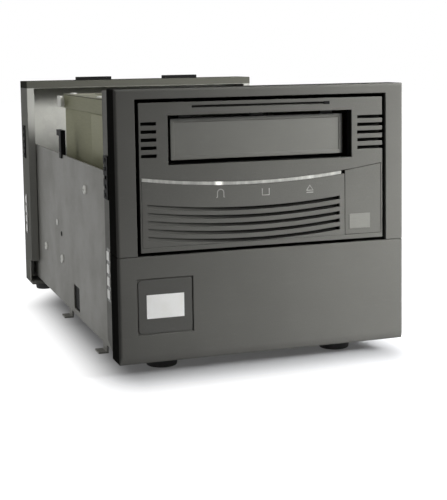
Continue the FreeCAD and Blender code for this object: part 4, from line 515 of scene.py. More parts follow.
@dataclass(frozen=True)
class Rubber(Finish):
    """Moulded rubber, foam or soft jacket, matt with dust in its pores."""

    pore: float = 0.4 * MM
    dust: Tone = (0.16, 0.16, 0.15)

    def paint(self, graph: Graph) -> Sockets:
        """Pores, and a grey bloom of dust.

        Args:
            graph: The material's nodes.

        Returns:
            What the shader's sockets take.
        """
        place = graph.spot()
        pore = graph.noise(place, self.pore, 3.0, 0.65)
        bloom = graph.noise(place, 7 * MM, 4.0, 0.6).between(0.45, 0.8)
        return {
            "Base Color": graph.mixed(bloom * 0.25, graph.shaded(self.tone, 0.8 + pore * 0.4), self.dust),
            "Roughness": self.rough + (pore - 0.5) * 0.1 + bloom * 0.06,
            "Normal": graph.bump(pore, 0.2, 0.05 * MM),
        }


@dataclass(frozen=True)
class Circuit(Finish):
    """Circuit board: solder mask over copper lines, with plated holes."""

    copper: Tone = (0.09, 0.25, 0.10)
    plating: Tone = (0.62, 0.58, 0.42)
    pitch: float = 1.3 * MM

    def paint(self, graph: Graph) -> Sockets:
        """Copper lines under the mask, that change their way by fields, and bright plated holes.

        Args:
            graph: The material's nodes.

        Returns:
            What the shader's sockets take.
        """
        place = graph.spot()
        way = graph.axis(graph.cells(place, 11 * MM, "Color"), Axis.X).over(0.5)
        across = graph.repeat(place, Axis.X, self.pitch).between(0.2, 0.26)
        along = graph.repeat(place, Axis.Y, self.pitch).between(0.2, 0.26)
        lines = across * way + along * (1.0 - way)
        hole = 1.0 - graph.cells(place, 3.1 * MM).between(0.14, 0.19)
        return {
            "Base Color": graph.mixed(hole, graph.mixed(lines, self.tone, self.copper), self.plating),
            "Metallic": hole,
            "Roughness": self.rough + hole * 0.05 - lines * 0.08,
            "Normal": graph.bump(lines, 0.3, 0.05 * MM),
        }


@dataclass(frozen=True)
class Paper(Finish):
    """Matt label stock or print."""

    aged: Tone = (0.80, 0.79, 0.72)

    def paint(self, graph: Graph) -> Sockets:
        """Paper fibres and a little yellowing.

        Args:
            graph: The material's nodes.

        Returns:
            What the shader's sockets take.
        """
        fibre = graph.noise(graph.spot((1.0, 1.0, 0.3)), 0.35 * MM, 3.0)
        age = graph.noise(graph.spot(), 9 * MM, 3.0).between(0.4, 0.8)
        fresh = graph.shaded(self.tone, 0.94 + fibre * 0.12)
        return {
            "Base Color": graph.mixed(age * 0.3, fresh, self.aged),
            "Normal": graph.bump(fibre, 0.1, 0.02 * MM),
        }


@dataclass(frozen=True)
class LampStrip(Finish):
    """Frosted light guide that glows in front of its lamps.

    Args:
        lamps: X and power of each lamp.
        reach: Distances from a lamp between which its glow fades.
        glow: Colour of the glow.
    """

    lamps: tuple[Span, ...] = ()
    reach: Span = (0.4 * MM, 3.4 * MM)
    glow: Tone = (1.0, 1.0, 0.94)

    def paint(self, graph: Graph) -> Sockets:
        """Frosting along the strip and a glow at each lamp.

        Args:
            graph: The material's nodes.

        Returns:
            What the shader's sockets take.
        """
        across = graph.axis(graph.spot(), Axis.X)
        frost = graph.noise(graph.spot((1.0, 1.0, 0.2)), 3.2 * MM, 3.0, 0.6)
        light = frost.between(0.4, 0.8) * 0.1
        for lamp_x, power in self.lamps:
            light = light + (1.0 - abs(across - lamp_x).between(*self.reach)) * power
        return {
            "Base Color": graph.shaded(self.tone, 0.7 + frost * 0.5),
            "Roughness": self.rough + frost * 0.15,
            "Emission Color": graph.shaded(self.glow, light),
            "Emission Strength": 1.0,
        }


@dataclass(frozen=True)
class Striped(Finish):
    """Even stripes along one axis: ribbon cores and windings."""

    axis: Axis = Axis.X
    pitch: float = 1.27 * MM
    # Colour of the painted shade in the valleys
    dark: Tone = (0.2, 0.2, 0.2)
    relief: float = 0.5

    def paint(self, graph: Graph) -> Sockets:
        """Rounded stripes with painted shade in the valleys.

        Args:
            graph: The material's nodes.

        Returns:
            What the shader's sockets take.
        """
        place = graph.spot()
        crown = 1.0 - graph.repeat(place, self.axis, self.pitch) * 2.0
        cloud = graph.noise(place, 4 * MM, 3.0)
        body = graph.shaded(self.tone, 0.85 + cloud * 0.3)
        return {
            # Painted shade in the valleys between the stripes
            "Base Color": graph.mixed(crown.between(0.0, 0.35), self.dark, body),
            "Roughness": self.rough + (cloud - 0.5) * 0.1,
            "Normal": graph.bump(crown.between(0.0, 0.8), self.relief, self.pitch * 0.4),
        }


@dataclass(frozen=True)
class Beaded(Finish):
    """Bright beads pressed proud of a dull strip, on two flanges of different width.

    Args:
        seats: Distance of each flange's outer face from the middle.
        proud: Heights between which a bead turns bright.
        dull: Colour of the strip between the beads.
    """

    seats: Span = (85.5 * MM, 90.0 * MM)
    proud: Span = (0.45 * MM, 0.65 * MM)
    dull: Tone = (0.11, 0.11, 0.10)

    def paint(self, graph: Graph) -> Sockets:
        """Bright metal on the beads, a darker colour between them and fine scuffs over both.

        Args:
            graph: The material's nodes.

        Returns:
            What the shader's sockets take.
        """
        narrow, wide = self.seats
        rise = abs(graph.axis(graph.spot(), Axis.X)) - narrow
        rise = rise - rise.over((wide - narrow) / 2) * (wide - narrow)
        scuff = graph.noise(graph.spot((1.0, 1.0, 0.2)), 0.8 * MM, 3.0)
        dull, bright = (graph.shaded(tone, 0.85 + scuff * 0.3) for tone in (self.dull, self.tone))
        return {
            "Base Color": graph.mixed(rise.between(*self.proud), dull, bright),
            "Roughness": self.rough + (scuff - 0.5) * 0.2,
            "Normal": graph.bump(scuff, 0.1, 0.03 * MM),
        }


FRONT_TONE = (0.135, 0.134, 0.124)
ROUND_LAY = (1.0, 1.0, 0.05)
# The front mouldings, bezel and insert take painted shade behind their front faces: on the moulding's sides
# and rounded edges, and in vents, slit, slot walls and grooves
FRONT_GREY = Moulded(
    "front_grey_moulding", FRONT_TONE, shine=0.0, face=-153.0 * MM, sink=(1.0 * MM, 3.6 * MM),
)
BEZEL_GREY = Moulded(
    "bezel_grey_moulding", FRONT_TONE, 0.48, shine=0.0, face=-152.6 * MM, sink=(0.25 * MM, 1.1 * MM),
)
INSERT_GREY = Moulded(
    "insert_grey_moulding", (0.138, 0.137, 0.127), 0.48, shine=0.0,
    face=-152.6 * MM, sink=(0.35 * MM, 2.5 * MM),
)
# The door takes painted shade round its recessed edges, and its lugs above the plate are painted dark for the
# shade in the gap over it
DOOR_GREY = Moulded(
    "door_grey_moulding", (0.15, 0.15, 0.137), 0.38, shine=0.2, grain=0.4 * MM, relief=0.15,
    face=-146.5 * MM, sink=(0.8 * MM, 1.8 * MM), roof=144.9 * MM,
)
BADGE_GREY = Moulded("badge_grey_moulding", (0.085, 0.084, 0.078), shine=0.2)
BLACK_PLASTIC = Moulded("black_moulding", (0.018, 0.018, 0.019), 0.42, grain=0.35 * MM)
WHITE_PLASTIC = Moulded("off_white_moulding", (0.72, 0.71, 0.66), 0.45, grain=0.6 * MM, relief=0.1)
REEL_BLACK = Moulded("reel_black_moulding", (0.028, 0.028, 0.031), 0.35, grain=0.8 * MM, relief=0.1)
CLIP_BLACK = Moulded("clip_black", (0.012, 0.012, 0.012), 0.6, shine=0.04, grain=0.3 * MM)
LAMP_BODY = Moulded("lamp_body", (0.45, 0.62, 0.36), 0.2, grain=0.6 * MM, relief=0.05)
LABEL_WHITE = Paper("bare_white_label", (0.94, 0.94, 0.92), 0.6)
PRINT_GREY = Paper("pale_grey_print", (0.30, 0.30, 0.28), 0.55)
ZINC = Plated("zinc_sheet", (0.21, 0.208, 0.192), 0.5, 0.45, 0.1, tint=(0.19, 0.188, 0.17))
BRIGHT = Plated("bright_sheet", (0.60, 0.60, 0.56), 0.42, 0.5, 0.1, tint=(0.48, 0.48, 0.44))
# The front plate: a darker copy of the zinc sheet, painted shade for its flanges beside the moulding
FLANGE = Plated("front_plate_sheet", (0.10, 0.10, 0.09), 0.5, 0.3, 0.05, tint=(0.09, 0.09, 0.08))
SUPPLY = Plated("supply_case_sheet", (0.44, 0.44, 0.42), 0.40, 0.8, spangle=0.3)
# The receiver's front is painted near-black: painted shade for the dark gap under the door
RECEIVER = Plated(
    "receiver_sheet", (0.50, 0.50, 0.47), 0.45, 0.5, 0.05, tint=(0.40, 0.40, 0.37),
    lip=-127.0 * MM, rim=(0.015, 0.015, 0.015),
)
# The rear pan: a brighter copy of the zinc sheet, painted light for its inner face that faces the lamps, with
# painted light on its outer sides, painted shade on its top and a painted tone on its front lips
PAN = Plated(
    "rear_pan_sheet", (0.40, 0.40, 0.372), 0.45, 0.42, 0.0, tint=(0.31, 0.31, 0.285),
    side=89.9 * MM, crown=156.8 * MM, lip=117.6 * MM,
)
OLIVE_CAST = Chromated(
    "olive_casting", (0.45, 0.45, 0.30), 0.55, 0.1, 0.02, drift=(0.49, 0.488, 0.345), sand=0.2,
)
# The drive cover's top takes painted shade above the crown
OLIVE_SHEET = Chromated(
    "olive_cover_sheet", (0.45, 0.45, 0.305), 0.5, 0.1, 0.02, drift=(0.49, 0.488, 0.35), crown=153.2 * MM,
)
SHIELD = Chromated("shield_sheet", (0.49, 0.49, 0.335), 0.5, 0.1, 0.02, drift=(0.54, 0.538, 0.38))
BADGE_SATIN = Ground("satin_plate", (0.20, 0.20, 0.183), 0.42, 0.2, 0.1)
STEEL = Ground("ground_steel", (0.55, 0.55, 0.54), 0.28, 1.0)
DARK_WIRE = Ground("dark_spring_wire", (0.04, 0.04, 0.04), 0.55, 0.3, 0.1, lay=EVEN)
MOTOR = Ground("motor_can", (0.42, 0.42, 0.41), 0.35, 1.0, lay=ROUND_LAY)
TURNED = Ground("turned_alloy", (0.72, 0.72, 0.71), 0.22, 1.0, lay=ROUND_LAY)
TIN = Ground("tinned_shell", (0.56, 0.56, 0.53), 0.34, 1.0)
CHROME = Ground("chromed_wire", (0.66, 0.66, 0.66), 0.16, 1.0, lay=(1.0, 0.3, 1.0))
SCREW = Ground("plated_screw", (0.50, 0.50, 0.47), 0.4, 0.6, 0.2, lay=EVEN)
MAGNET = Ground("plated_magnet", (0.38, 0.38, 0.38), 0.3, 1.0)
CERAMIC = Ground("head_ceramic", (0.10, 0.09, 0.085), 0.15, 0.1)
GOLD = Ground("gold_contact", (0.70, 0.50, 0.20), 0.25, 1.0)
CONTACT = Beaded("bright_contact_strip", (0.72, 0.72, 0.69), 0.4, 0.3, 0.2)
GREEN_BOARD = Circuit("green_board", (0.020, 0.105, 0.040), 0.38)
COPPER = Striped(
    "copper_winding", (0.60, 0.26, 0.12), 0.32, 1.0, axis=Axis.Z, pitch=0.4 * MM, dark=(0.2, 0.07, 0.03),
)
RIBBON = Striped("grey_ribbon", (0.40, 0.41, 0.42), 0.55, dark=(0.2, 0.2, 0.21))
SLEEVE = Rubber("black_sleeve", (0.022, 0.022, 0.022))
FOAM = Rubber("black_foam", (0.008, 0.008, 0.008), 0.9, shine=0.1, pore=0.6 * MM)
FOOT_RUBBER = Rubber("foot_rubber", (0.026, 0.026, 0.026), 0.75)
LAMP_STRIP = LampStrip(
    "lamp_strip", (0.42, 0.42, 0.395), 0.45, shine=0.05,
    lamps=((-27.9 * MM, 0.9), (0.0, 0.05), (27.9 * MM, 0.12)),
)


class Stock:
    """Meshes in the making: copies of CAD nodes and shapes of its own."""

    MERGE = 2e-6
    FLAT = math.radians(0.4)

    @staticmethod
    def holder(name: str, mesh: Mesh) -> bpy.types.Object:
        """An object that isn't shown and holds a mesh for a modifier or a pattern.

        Args:
            name: Its name.
            mesh: The mesh.

        Returns:
            The object.
        """
        made = bpy.data.objects.new(name, mesh)
        bpy.context.scene.collection.objects.link(made)
        made.hide_render = True
        return made

    @staticmethod
    def evaluated(holder: bpy.types.Object) -> Mesh:
        """The object's mesh with its modifiers applied.

        Args:
            holder: The object.

        Returns:
            A new mesh.
        """
        bpy.context.view_layer.update()
        graph = bpy.context.evaluated_depsgraph_get()
        return bpy.data.meshes.new_from_object(holder.evaluated_get(graph))

    @staticmethod
    def to_mesh(work: Work, name: str) -> Mesh:
        """Turn working geometry into a mesh.

        Args:
            work: The geometry, which is used up.
            name: The mesh's name.

        Returns:
            The mesh.
        """
        mesh = bpy.data.meshes.new(name)
        work.to_mesh(mesh)
        work.free()
        return mesh

    @classmethod
    def cad(cls, node: str) -> Work:
        """A copy of a CAD node with its points merged and its flat triangles joined.

        Args:
            node: The node's name.

        Returns:
            The copy.
        """
        work = bmesh.new()
        work.from_mesh(bpy.data.objects[node].data)
        bmesh.ops.remove_doubles(work, verts=work.verts, dist=cls.MERGE)
        bmesh.ops.join_triangles(
            work, faces=work.faces, angle_face_threshold=cls.FLAT, angle_shape_threshold=math.pi,
        )
        return work

    @classmethod
    def islands(cls, node: str) -> list[tuple[Vector, Vector]]:
        """Lowest and highest corner of each separate solid in a CAD node.

        Args:
            node: The node's name.

        Returns:
            The corners, in the order of their lowest corner.
        """
        work = cls.cad(node)
        left = set(work.verts)
        found = []
        while left:
            stack = [left.pop()]
            members = []
            while stack:
                vertex = stack.pop()
                members.append(vertex.co.copy())
                near = {edge.other_vert(vertex) for edge in vertex.link_edges} & left
                left -= near
                stack.extend(near)
            found.append(tuple(Vector(map(pick, zip(*members))) for pick in (min, max)))
        work.free()
        return sorted(found, key=lambda box: tuple(round(value, 5) for value in box[0]))

    @staticmethod
    def bevel(work: Work, edges: list[bmesh.types.BMEdge], width: float, segments: int = 2) -> None:
        """Round edges of working geometry by a width."""
        bmesh.ops.bevel(work, geom=edges, offset=width, segments=segments, affect="EDGES", profile=0.5)

    @staticmethod
    def turned(profile: Sequence[Span], sides: int = 48, hollow: bool = False) -> Work:
        """A closed turned shape about Z.

        Args:
            profile: Radius and height of each point, upwards; the ends lie on the axis unless it is hollow.
            sides: Faces round it.
            hollow: Whether the last point joins the first, round a bore.

        Returns:
            The shape.
        """
        work = bmesh.new()
        rings = []
        for radius, height in profile:
            ring = []
            for step in range(sides if radius > 0.0 else 1):
                angle = math.tau * step / sides
                ring.append(work.verts.new((radius * math.cos(angle), radius * math.sin(angle), height)))
            rings.append(ring)
        for lower, upper in zip(rings, rings[1:] + (rings[:1] if hollow else [])):
            for step in range(sides):
                spots = ((lower, step), (lower, step + 1), (upper, step + 1), (upper, step))
                face = list(dict.fromkeys(ring[place % len(ring)] for ring, place in spots))
                if len(face) > 2:
                    work.faces.new(face)
        bmesh.ops.recalc_face_normals(work, faces=work.faces)
        return work

    @staticmethod
    def block(work: Work, low: Point, high: Point) -> None:
        """Add a box to working geometry by its lowest and highest corner.

        Args:
            work: What it is added to.
            low: Its lowest corner.
            high: Its highest corner.
        """
        size = Vector(high) - Vector(low)
        middle = (Vector(high) + Vector(low)) / 2
        place = Matrix.Translation(middle) @ Matrix.Diagonal((*size, 1.0))
        bmesh.ops.create_cube(work, size=1.0, matrix=place)

    @classmethod
    def blocks(cls, work: Work, across: Span, along: Span, up: Span) -> None:
        """Add a box on the right and its mirror image on the left.

        Args:
            work: What they are added to.
            across: From and to on X, in either order.
            along: From and to on Y.
            up: From and to on Z.
        """
        for side in Side:
            near, far = sorted(value * side.value for value in across)
            cls.block(work, (near, along[0], up[0]), (far, along[1], up[1]))

    @staticmethod
    def stroke(
        work: Work, line: Sequence[Span], width: float, face: float, thick: float,
    ) -> None:
        """Add a raised line drawn on a front face.

        Args:
            work: What it is added to.
            line: Across and up of each point.
            width: Width of the line.
            face: Y of the face that it lies on.
            thick: How far it stands in front of it.
        """
        rings = []
        for index, (across, up) in enumerate(line):
            before = Vector(line[max(index - 1, 0)])
            after = Vector(line[min(index + 1, len(line) - 1)])
            way = (after - before).normalized() * (width / 2)
            ring = []
            for sign, depth in ((1, 0.0), (1, thick), (-1, thick), (-1, 0.0)):
                ring.append(work.verts.new((across - way.y * sign, face - depth, up + way.x * sign)))
            rings.append(ring)
        for first, second in zip(rings, rings[1:]):
            for corner in range(4):
                other = (corner + 1) % 4
                work.faces.new((first[corner], first[other], second[other], second[corner]))
        work.faces.new(rings[0])
        work.faces.new(list(reversed(rings[-1])))
        bmesh.ops.recalc_face_normals(work, faces=work.faces)


class Pattern(Nodes):
    """A Geometry Nodes tree with named inputs, realised and dressed at its end."""

    KINDS = {
        float: "NodeSocketFloat", int: "NodeSocketInt", tuple: "NodeSocketVector",
        bpy.types.Object: "NodeSocketObject",
    }

    def __init__(self, name: str, shape: Work | None = None, **inputs: object) -> None:
        """Make the tree and its inputs.

        Args:
            name: The tree's name.
            shape: What it repeats, which is used up.
            **inputs: Name and value of each input.
        """
        super().__init__(bpy.data.node_groups.new(name, "GeometryNodeTree"))
        face = self.tree.interface
        face.new_socket("Geometry", in_out="INPUT", socket_type="NodeSocketGeometry")
        self.values: dict[str, object] = {}
        self.lent: list[bpy.types.Object] = []
        if shape is not None:
            inputs["Shape"] = Stock.holder(name, Stock.to_mesh(shape, name))
            self.lent.append(inputs["Shape"])
        for label, value in inputs.items():
            kind = next(kind for base, kind in self.KINDS.items() if isinstance(value, base))
            item = face.new_socket(label, in_out="INPUT", socket_type=kind)
            self.values[item.identifier] = value
        face.new_socket("Geometry", in_out="OUTPUT", socket_type="NodeSocketGeometry")
        self.source = self.tree.nodes.new("NodeGroupInput")

    def given(self, label: str) -> Wire:
        """One of the tree's inputs."""
        return Wire(self, self.socket(self.source.outputs, label))

    def line(self) -> Wire:
        """Points in a row, by the inputs Count, First and Pitch.

        Returns:
            The points as a mesh.
        """
        names = {"Count": "Count", "Start Location": "First", "Offset": "Pitch"}
        values = {key: self.given(label) for key, label in names.items()}
        return self.node("GeometryNodeMeshLine", {"mode": "OFFSET"}, values)

    def shape(self) -> Wire:
        """The shape that the tree repeats."""
        return self.node("GeometryNodeObjectInfo", {}, {"Object": self.given("Shape")}, "Geometry")

    def circle(self, radius: Value, sides: int) -> Wire:
        """A round curve in the XY plane."""
        values = {"Resolution": sides, "Radius": radius}
        return self.node("GeometryNodeCurvePrimitiveCircle", {"mode": "RADIUS"}, values, "Curve")

    def wired(self, path: Wire, sides: int) -> Wire:
        """A round wire along a curve, by the input Wire, turned and moved by Turn and Place.

        Args:
            path: The curve.
            sides: Faces round the wire.

        Returns:
            The wire.
        """
        ring = self.circle(self.given("Wire"), sides)
        wire = self.node(
            "GeometryNodeCurveToMesh", {}, {"Curve": path, "Profile Curve": ring, "Fill Caps": True},
        )
        return self.node("GeometryNodeTransform", {}, {
            "Geometry": wire, "Translation": self.given("Place"), "Rotation": self.given("Turn"),
        })

    def copies(self, points: Wire, shape: Wire, **values: object) -> Wire:
        """A copy of a shape at each point, with a Rotation or Scale if they are given."""
        return self.node("GeometryNodeInstanceOnPoints", {}, {"Points": points, "Instance": shape, **values})

    def run(self, shape: Wire, finish: Finish, points: Sequence[Point] = ()) -> Mesh:
        """End the tree and run it.

        Args:
            shape: What the tree makes.
            finish: What it is dressed in.
            points: Points that it starts from.

        Returns:
            Its result as a plain mesh.
        """
        solid = self.node("GeometryNodeRealizeInstances", {}, {"Geometry": shape})
        values = {"Geometry": solid, "Material": finish.material()}
        self.node("NodeGroupOutput", {}, {0: self.node("GeometryNodeSetMaterial", {}, values)})
        seed = bpy.data.meshes.new(self.tree.name)
        seed.from_pydata(list(points), [], [])
        holder = Stock.holder(self.tree.name, seed)
        modifier = holder.modifiers.new("pattern", "NODES")
        modifier.node_group = self.tree
        for key, value in self.values.items():
            modifier[key] = value
        made = Stock.evaluated(holder)
        holder.modifiers.remove(modifier)
        for spent in (holder, *self.lent):
            bpy.data.objects.remove(spent)
        return made

    @classmethod
    def row(
        cls, name: str, shape: Work, count: int, middle: Point, pitch: float, finish: Finish,
    ) -> Mesh:
        """A row of copies along X.

        Args:
            name: The tree's name.
            shape: What is repeated, which is used up.
            count: How many there are.
            middle: The middle of the row.
            pitch: From one to the next.
            finish: What they are dressed in.

        Returns:
            The copies as one mesh.
        """
        first = (middle[0] - pitch * (count - 1) / 2, *middle[1:])
        tree = cls(name, shape, Count=count, First=first, Pitch=(pitch, 0.0, 0.0))
        return tree.run(tree.copies(tree.line(), tree.shape()), finish)


class Fasteners:
    """Cross-recessed screws."""

    # Radius and height along a head's dome, as shares of the head's
    DOME = ((0.0, -0.2), (1.0, -0.2), (1.0, 0.35), (0.93, 0.62), (0.72, 0.86), (0.4, 0.98), (0.0, 1.0))
    # Half length and half width of the recess, as shares of the radius
    RECESS = (0.62, 0.14)
    # Floor and top of the recess's cutter, as shares of the rise
    CUT = (0.4, 2.0)
    SIDES = 32

    @classmethod
    def head(cls, radius: float, rise: float) -> Work:
        """One domed head with a cross recess, upright on the origin.

        Args:
            radius: Its radius.
            rise: Its height.

        Returns:
            The head.
        """
        profile = [(radius * across, rise * up) for across, up in cls.DOME]
        holder = Stock.holder("screw_head", Stock.to_mesh(Stock.turned(profile, cls.SIDES), "screw_head"))
        long, thin = (radius * share for share in cls.RECESS)
        bottom, top = (rise * share for share in cls.CUT)
        work = bmesh.new()
        for half_x, half_y in ((long, thin), (thin, long)):
            Stock.block(work, (-half_x, -half_y, bottom), (half_x, half_y, top))
        cutter = Stock.holder("screw_recess", Stock.to_mesh(work, "screw_recess"))
        recess = holder.modifiers.new("recess", "BOOLEAN")
        recess.object = cutter
        recess.operation = "DIFFERENCE"
        recess.solver = "EXACT"
        recess.use_self = True
        made = bmesh.new()
        made.from_mesh(Stock.evaluated(holder))
        for spent in (holder, cutter):
            bpy.data.objects.remove(spent)
        return made

    @classmethod
    def heads(cls, spots: Mapping[Facing, Sequence[Point]], radius: float, rise: float) -> Work:
        """Screw heads on the object's faces.

        Args:
            spots: The seats of the screws, by the way that they face.
            radius: The heads' radius.
            rise: The heads' height.

        Returns:
            All the heads.
        """
        shape = cls.head(radius, rise)
        work = bmesh.new()
        for facing, places in spots.items():
            tree = Pattern(f"screws_{facing.name.lower()}", shape.copy(), Turn=facing.value)
            made = tree.copies(tree.given("Geometry"), tree.shape(), Rotation=tree.given("Turn"))
            work.from_mesh(tree.run(made, SCREW, places))
        shape.free()
        return work


@dataclass(frozen=True)
class Coat:
    """CAD nodes that keep their shape and share a finish.

    Args:
        finish: What they are dressed in.
        nodes: Their names.
        ease: Width of their eased edges, or nought where the CAD mesh stays as it is.
        segments: Faces across an eased edge.
    """

    finish: Finish
    nodes: tuple[str, ...]
    ease: float = 0.0
    segments: int = 2


@dataclass
class Bench:
    """Turns meshes into pieces of the object and keeps count of them."""

    frame: dict
    pieces: list[str] = field(default_factory=list)
    sharp: float = math.radians(35.0)

    def body(self, node: str) -> str:
        """The body that a CAD node rides on."""
        return str(self.frame["nodes"][node]["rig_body"])

    def slot(self, node: str) -> str:
        """The record's material slot of a CAD node."""
        rows = self.frame["record"]["subparts"]
        return next(str(row["material_slot"]) for row in rows if row["node"] == node)

    def deliver(
        self, name: str, made: Work | Mesh, finish: Finish, node: str,
        instead: Sequence[str] = (), smooth: float = 0.0,
    ) -> None:
        """Put a finished mesh in the scene.

        Args:
            name: The piece's name.
            made: Its mesh or working geometry, in place.
            finish: What it is dressed in.
            node: The CAD node whose body it rides on and whose slot is looked up.
            instead: CAD nodes that it stands for.
            smooth: Angle in degrees up to which it is shaded smooth, or nought to leave its shading.
        """
        mesh = Stock.to_mesh(made, name) if isinstance(made, Work) else made
        if smooth:
            mesh.shade_smooth()
            mesh.set_sharp_from_angle(angle=math.radians(smooth))
        mesh.name = name
        mesh.materials.clear()
        mesh.materials.append(finish.material())
        piece = bpy.data.objects.new(name, mesh)
        bpy.context.scene.collection.objects.link(piece)
        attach(piece, self.body(node))
        self.slot(node)
        if instead:
            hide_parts(*instead)
        self.pieces.append(name)
        LOG.info("%s: %d faces", name, len(mesh.polygons))

    def soften(self, node: str, coat: Coat, work: Work | None = None) -> None:
        """Stand a copy with eased edges in for a CAD node.

        Args:
            node: The node's name.
            coat: Its finish and the width of its edges.
            work: A worked copy, which is used up, or nothing for a plain one.
        """
        holder = Stock.holder(f"{node}_stock", Stock.to_mesh(work or Stock.cad(node), node))
        holder.data.shade_smooth()
        bevel = holder.modifiers.new("eased", "BEVEL")
        bevel.width = coat.ease
        bevel.segments = coat.segments
        bevel.limit_method = "ANGLE"
        bevel.angle_limit = self.sharp
        bevel.use_clamp_overlap = False
        bevel.loop_slide = False
        holder.modifiers.new("flat_faces", "WEIGHTED_NORMAL")
        mesh = Stock.evaluated(holder)
        bpy.data.objects.remove(holder)
        self.deliver(f"{node}_dressed", mesh, coat.finish, node, (node,))

    def dress(self, coat: Coat) -> None:
        """Dress the nodes of a coat, with their edges eased where it says so.

        Args:
            coat: The nodes and their finish.
        """
        for node in coat.nodes:
            if coat.ease:
                self.soften(node, coat)
                continue
            shown = self.frame["nodes"][node]
            shown.data.materials.clear()
            shown.data.materials.append(coat.finish.material())
            LOG.info("%s: CAD shape in %s", node, coat.finish.name)


@dataclass
class Assembly:
    """A sub-assembly: CAD nodes that are dressed, and pieces of its own."""

    bench: Bench
    coats: tuple[Coat, ...] = ()

    def build(self) -> None:
        """Dress the CAD nodes, then add the assembly's own pieces."""
        for coat in self.coats:
            self.bench.dress(coat)
        self.extras()

    def extras(self) -> None:
        """Add pieces that the CAD leaves plain or leaves out."""


@dataclass
class FrontMouldings(Assembly):
    """The upper and lower front mouldings, with the square plate and its bare label."""

    coats: tuple[Coat, ...] = (
        Coat(BADGE_GREY, ("badge_plate",), 0.2 * MM),
        Coat(LABEL_WHITE, ("badge_label",), 0.06 * MM),
    )
    corner: float = 1.8 * MM
    corner_faces: int = 5
    edge: float = 0.4 * MM
    near: float = 0.02 * MM

    def extras(self) -> None:
        """Round the outer edges of both mouldings."""
        self.moulding("front_frame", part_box("front_frame")[1].z)
        self.moulding("lower_panel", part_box("lower_panel")[0].z)

    def moulding(self, node: str, rim: float) -> None:
        """Round a moulding's outer front edges, then ease the rest.

        Args:
            node: The moulding.
            rim: Height of its outer long edge.
        """
        low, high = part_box(node)
        work = Stock.cad(node)
        chosen = []
        for edge in work.edges:
            spots = [vertex.co for vertex in edge.verts]
            fore = all(abs(spot.y - low.y) < self.near for spot in spots)
            flank = all(abs(abs(spot.x) - high.x) < self.near for spot in spots)
            long = all(abs(spot.z - rim) < self.near for spot in spots)
            if fore and (flank or long):
                chosen.append(edge)
        Stock.bevel(work, chosen, self.corner, self.corner_faces)
        self.bench.soften(node, Coat(FRONT_GREY, (node,), self.edge), work)


@dataclass
class DriveBezel(Assembly):
    """The drive's own bezel: slot surround, vents, curved insert, light bar and eject button."""

    coats: tuple[Coat, ...] = (
        Coat(BEZEL_GREY, ("drive_bezel",), 0.3 * MM),
        Coat(INSERT_GREY, ("bezel_insert",), 0.15 * MM),
        Coat(BEZEL_GREY, ("eject_button",), 0.15 * MM),
        Coat(LAMP_STRIP, ("light_bar",), 0.25 * MM),
        Coat(BADGE_SATIN, ("name_badge",), 0.1 * MM),
        Coat(GREEN_BOARD, ("indicator_board",)),
        Coat(BLACK_PLASTIC, ("eject_switch",)),
        Coat(LAMP_BODY, ("indicator_leds",)),
    )
    icon_line: float = 0.55 * MM
    icon_thick: float = 0.06 * MM
    arch_at: Span = (-26.9 * MM, 102.4 * MM)
    cup_at: Span = (0.2 * MM, 102.0 * MM)
    eject_at: Span = (27.4 * MM, 102.2 * MM)
    # Points of the icons from their middles, in mm
    arch_half: float = 1.9
    arch_base: float = 0.4
    arch_steps: int = 12
    foot: Span = (2.6, -2.2)
    cup: tuple[Span, ...] = ((-2.1, 1.9), (-2.1, -1.9), (2.1, -1.9), (2.1, 1.9))
    wedge: tuple[Span, ...] = ((-2.1, -0.8), (0.0, 2.1), (2.1, -0.8), (-2.1, -0.8))
    bar: tuple[Span, ...] = ((-2.1, -2.0), (2.1, -2.0))
    window_x: Span = (36.4 * MM, 40.2 * MM)
    window_drop: float = 2.7 * MM
    window_height: float = 1.9 * MM
    window_y: Span = (-0.03 * MM, 1.4 * MM)
    window_edge: float = 0.15 * MM
    # Play and reach of the dark frame of painted shade round the drive
    seal_play: float = 0.15 * MM
    seal_reach: float = 1.6 * MM

    def extras(self) -> None:
        """Add the icons, the dark window and the dark frame of painted shade round the drive."""
        self.icons()
        self.window()
        self.seal()

    def icons(self) -> None:
        """Draw an arch with feet, a square cup and a wedge over a bar."""
        half = self.arch_half
        foot, sole = self.foot
        turns = [math.pi * step / self.arch_steps for step in range(self.arch_steps + 1)]
        arch = [(-half * math.cos(turn), self.arch_base + half * math.sin(turn)) for turn in turns]
        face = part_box("bezel_insert")[0].y
        work = bmesh.new()
        for (across, up), line in (
            (self.arch_at, [(-foot, sole), (-half, sole), *arch, (half, sole), (foot, sole)]),
            (self.cup_at, self.cup), (self.eject_at, self.wedge), (self.eject_at, self.bar),
        ):
            placed = [(across + side * MM, up + rise * MM) for side, rise in line]
            Stock.stroke(work, placed, self.icon_line, face, self.icon_thick)
        self.bench.deliver("insert_icons", work, PRINT_GREY, "badge_label")

    def window(self) -> None:
        """Set the small dark window in the end of the slit over the slot."""
        low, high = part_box("drive_bezel")
        front, back = (low.y + depth for depth in self.window_y)
        middle = high.z - self.window_drop
        half = self.window_height / 2
        work = bmesh.new()
        Stock.block(
            work, (self.window_x[0], front, middle - half), (self.window_x[1], back, middle + half),
        )
        Stock.bevel(work, work.edges[:], self.window_edge)
        self.bench.deliver("slit_window", work, CLIP_BLACK, "eject_switch", smooth=SMOOTH)

    def seal(self) -> None:
        """Fill the gap round the drive with a dark frame against the front plate: painted shade for the dark
        gap.
        """
        low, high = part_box("drive_bezel")
        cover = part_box("drive_cover")[1]
        along = (high.y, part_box("front_plate")[0].y)
        inner, inner_top = cover.x + self.seal_play, cover.z + self.seal_play
        outer, outer_top = high.x + self.seal_reach, high.z + self.seal_reach
        bottom = low.z - self.seal_reach
        work = bmesh.new()
        Stock.blocks(work, (inner, outer), along, (bottom, outer_top))
        for start, end in ((inner_top, outer_top), (bottom, low.z - self.seal_play)):
            Stock.block(work, (-inner, along[0], start), (inner, along[1], end))
        self.bench.deliver("gap_seal", work, FOAM, "flange_clips")


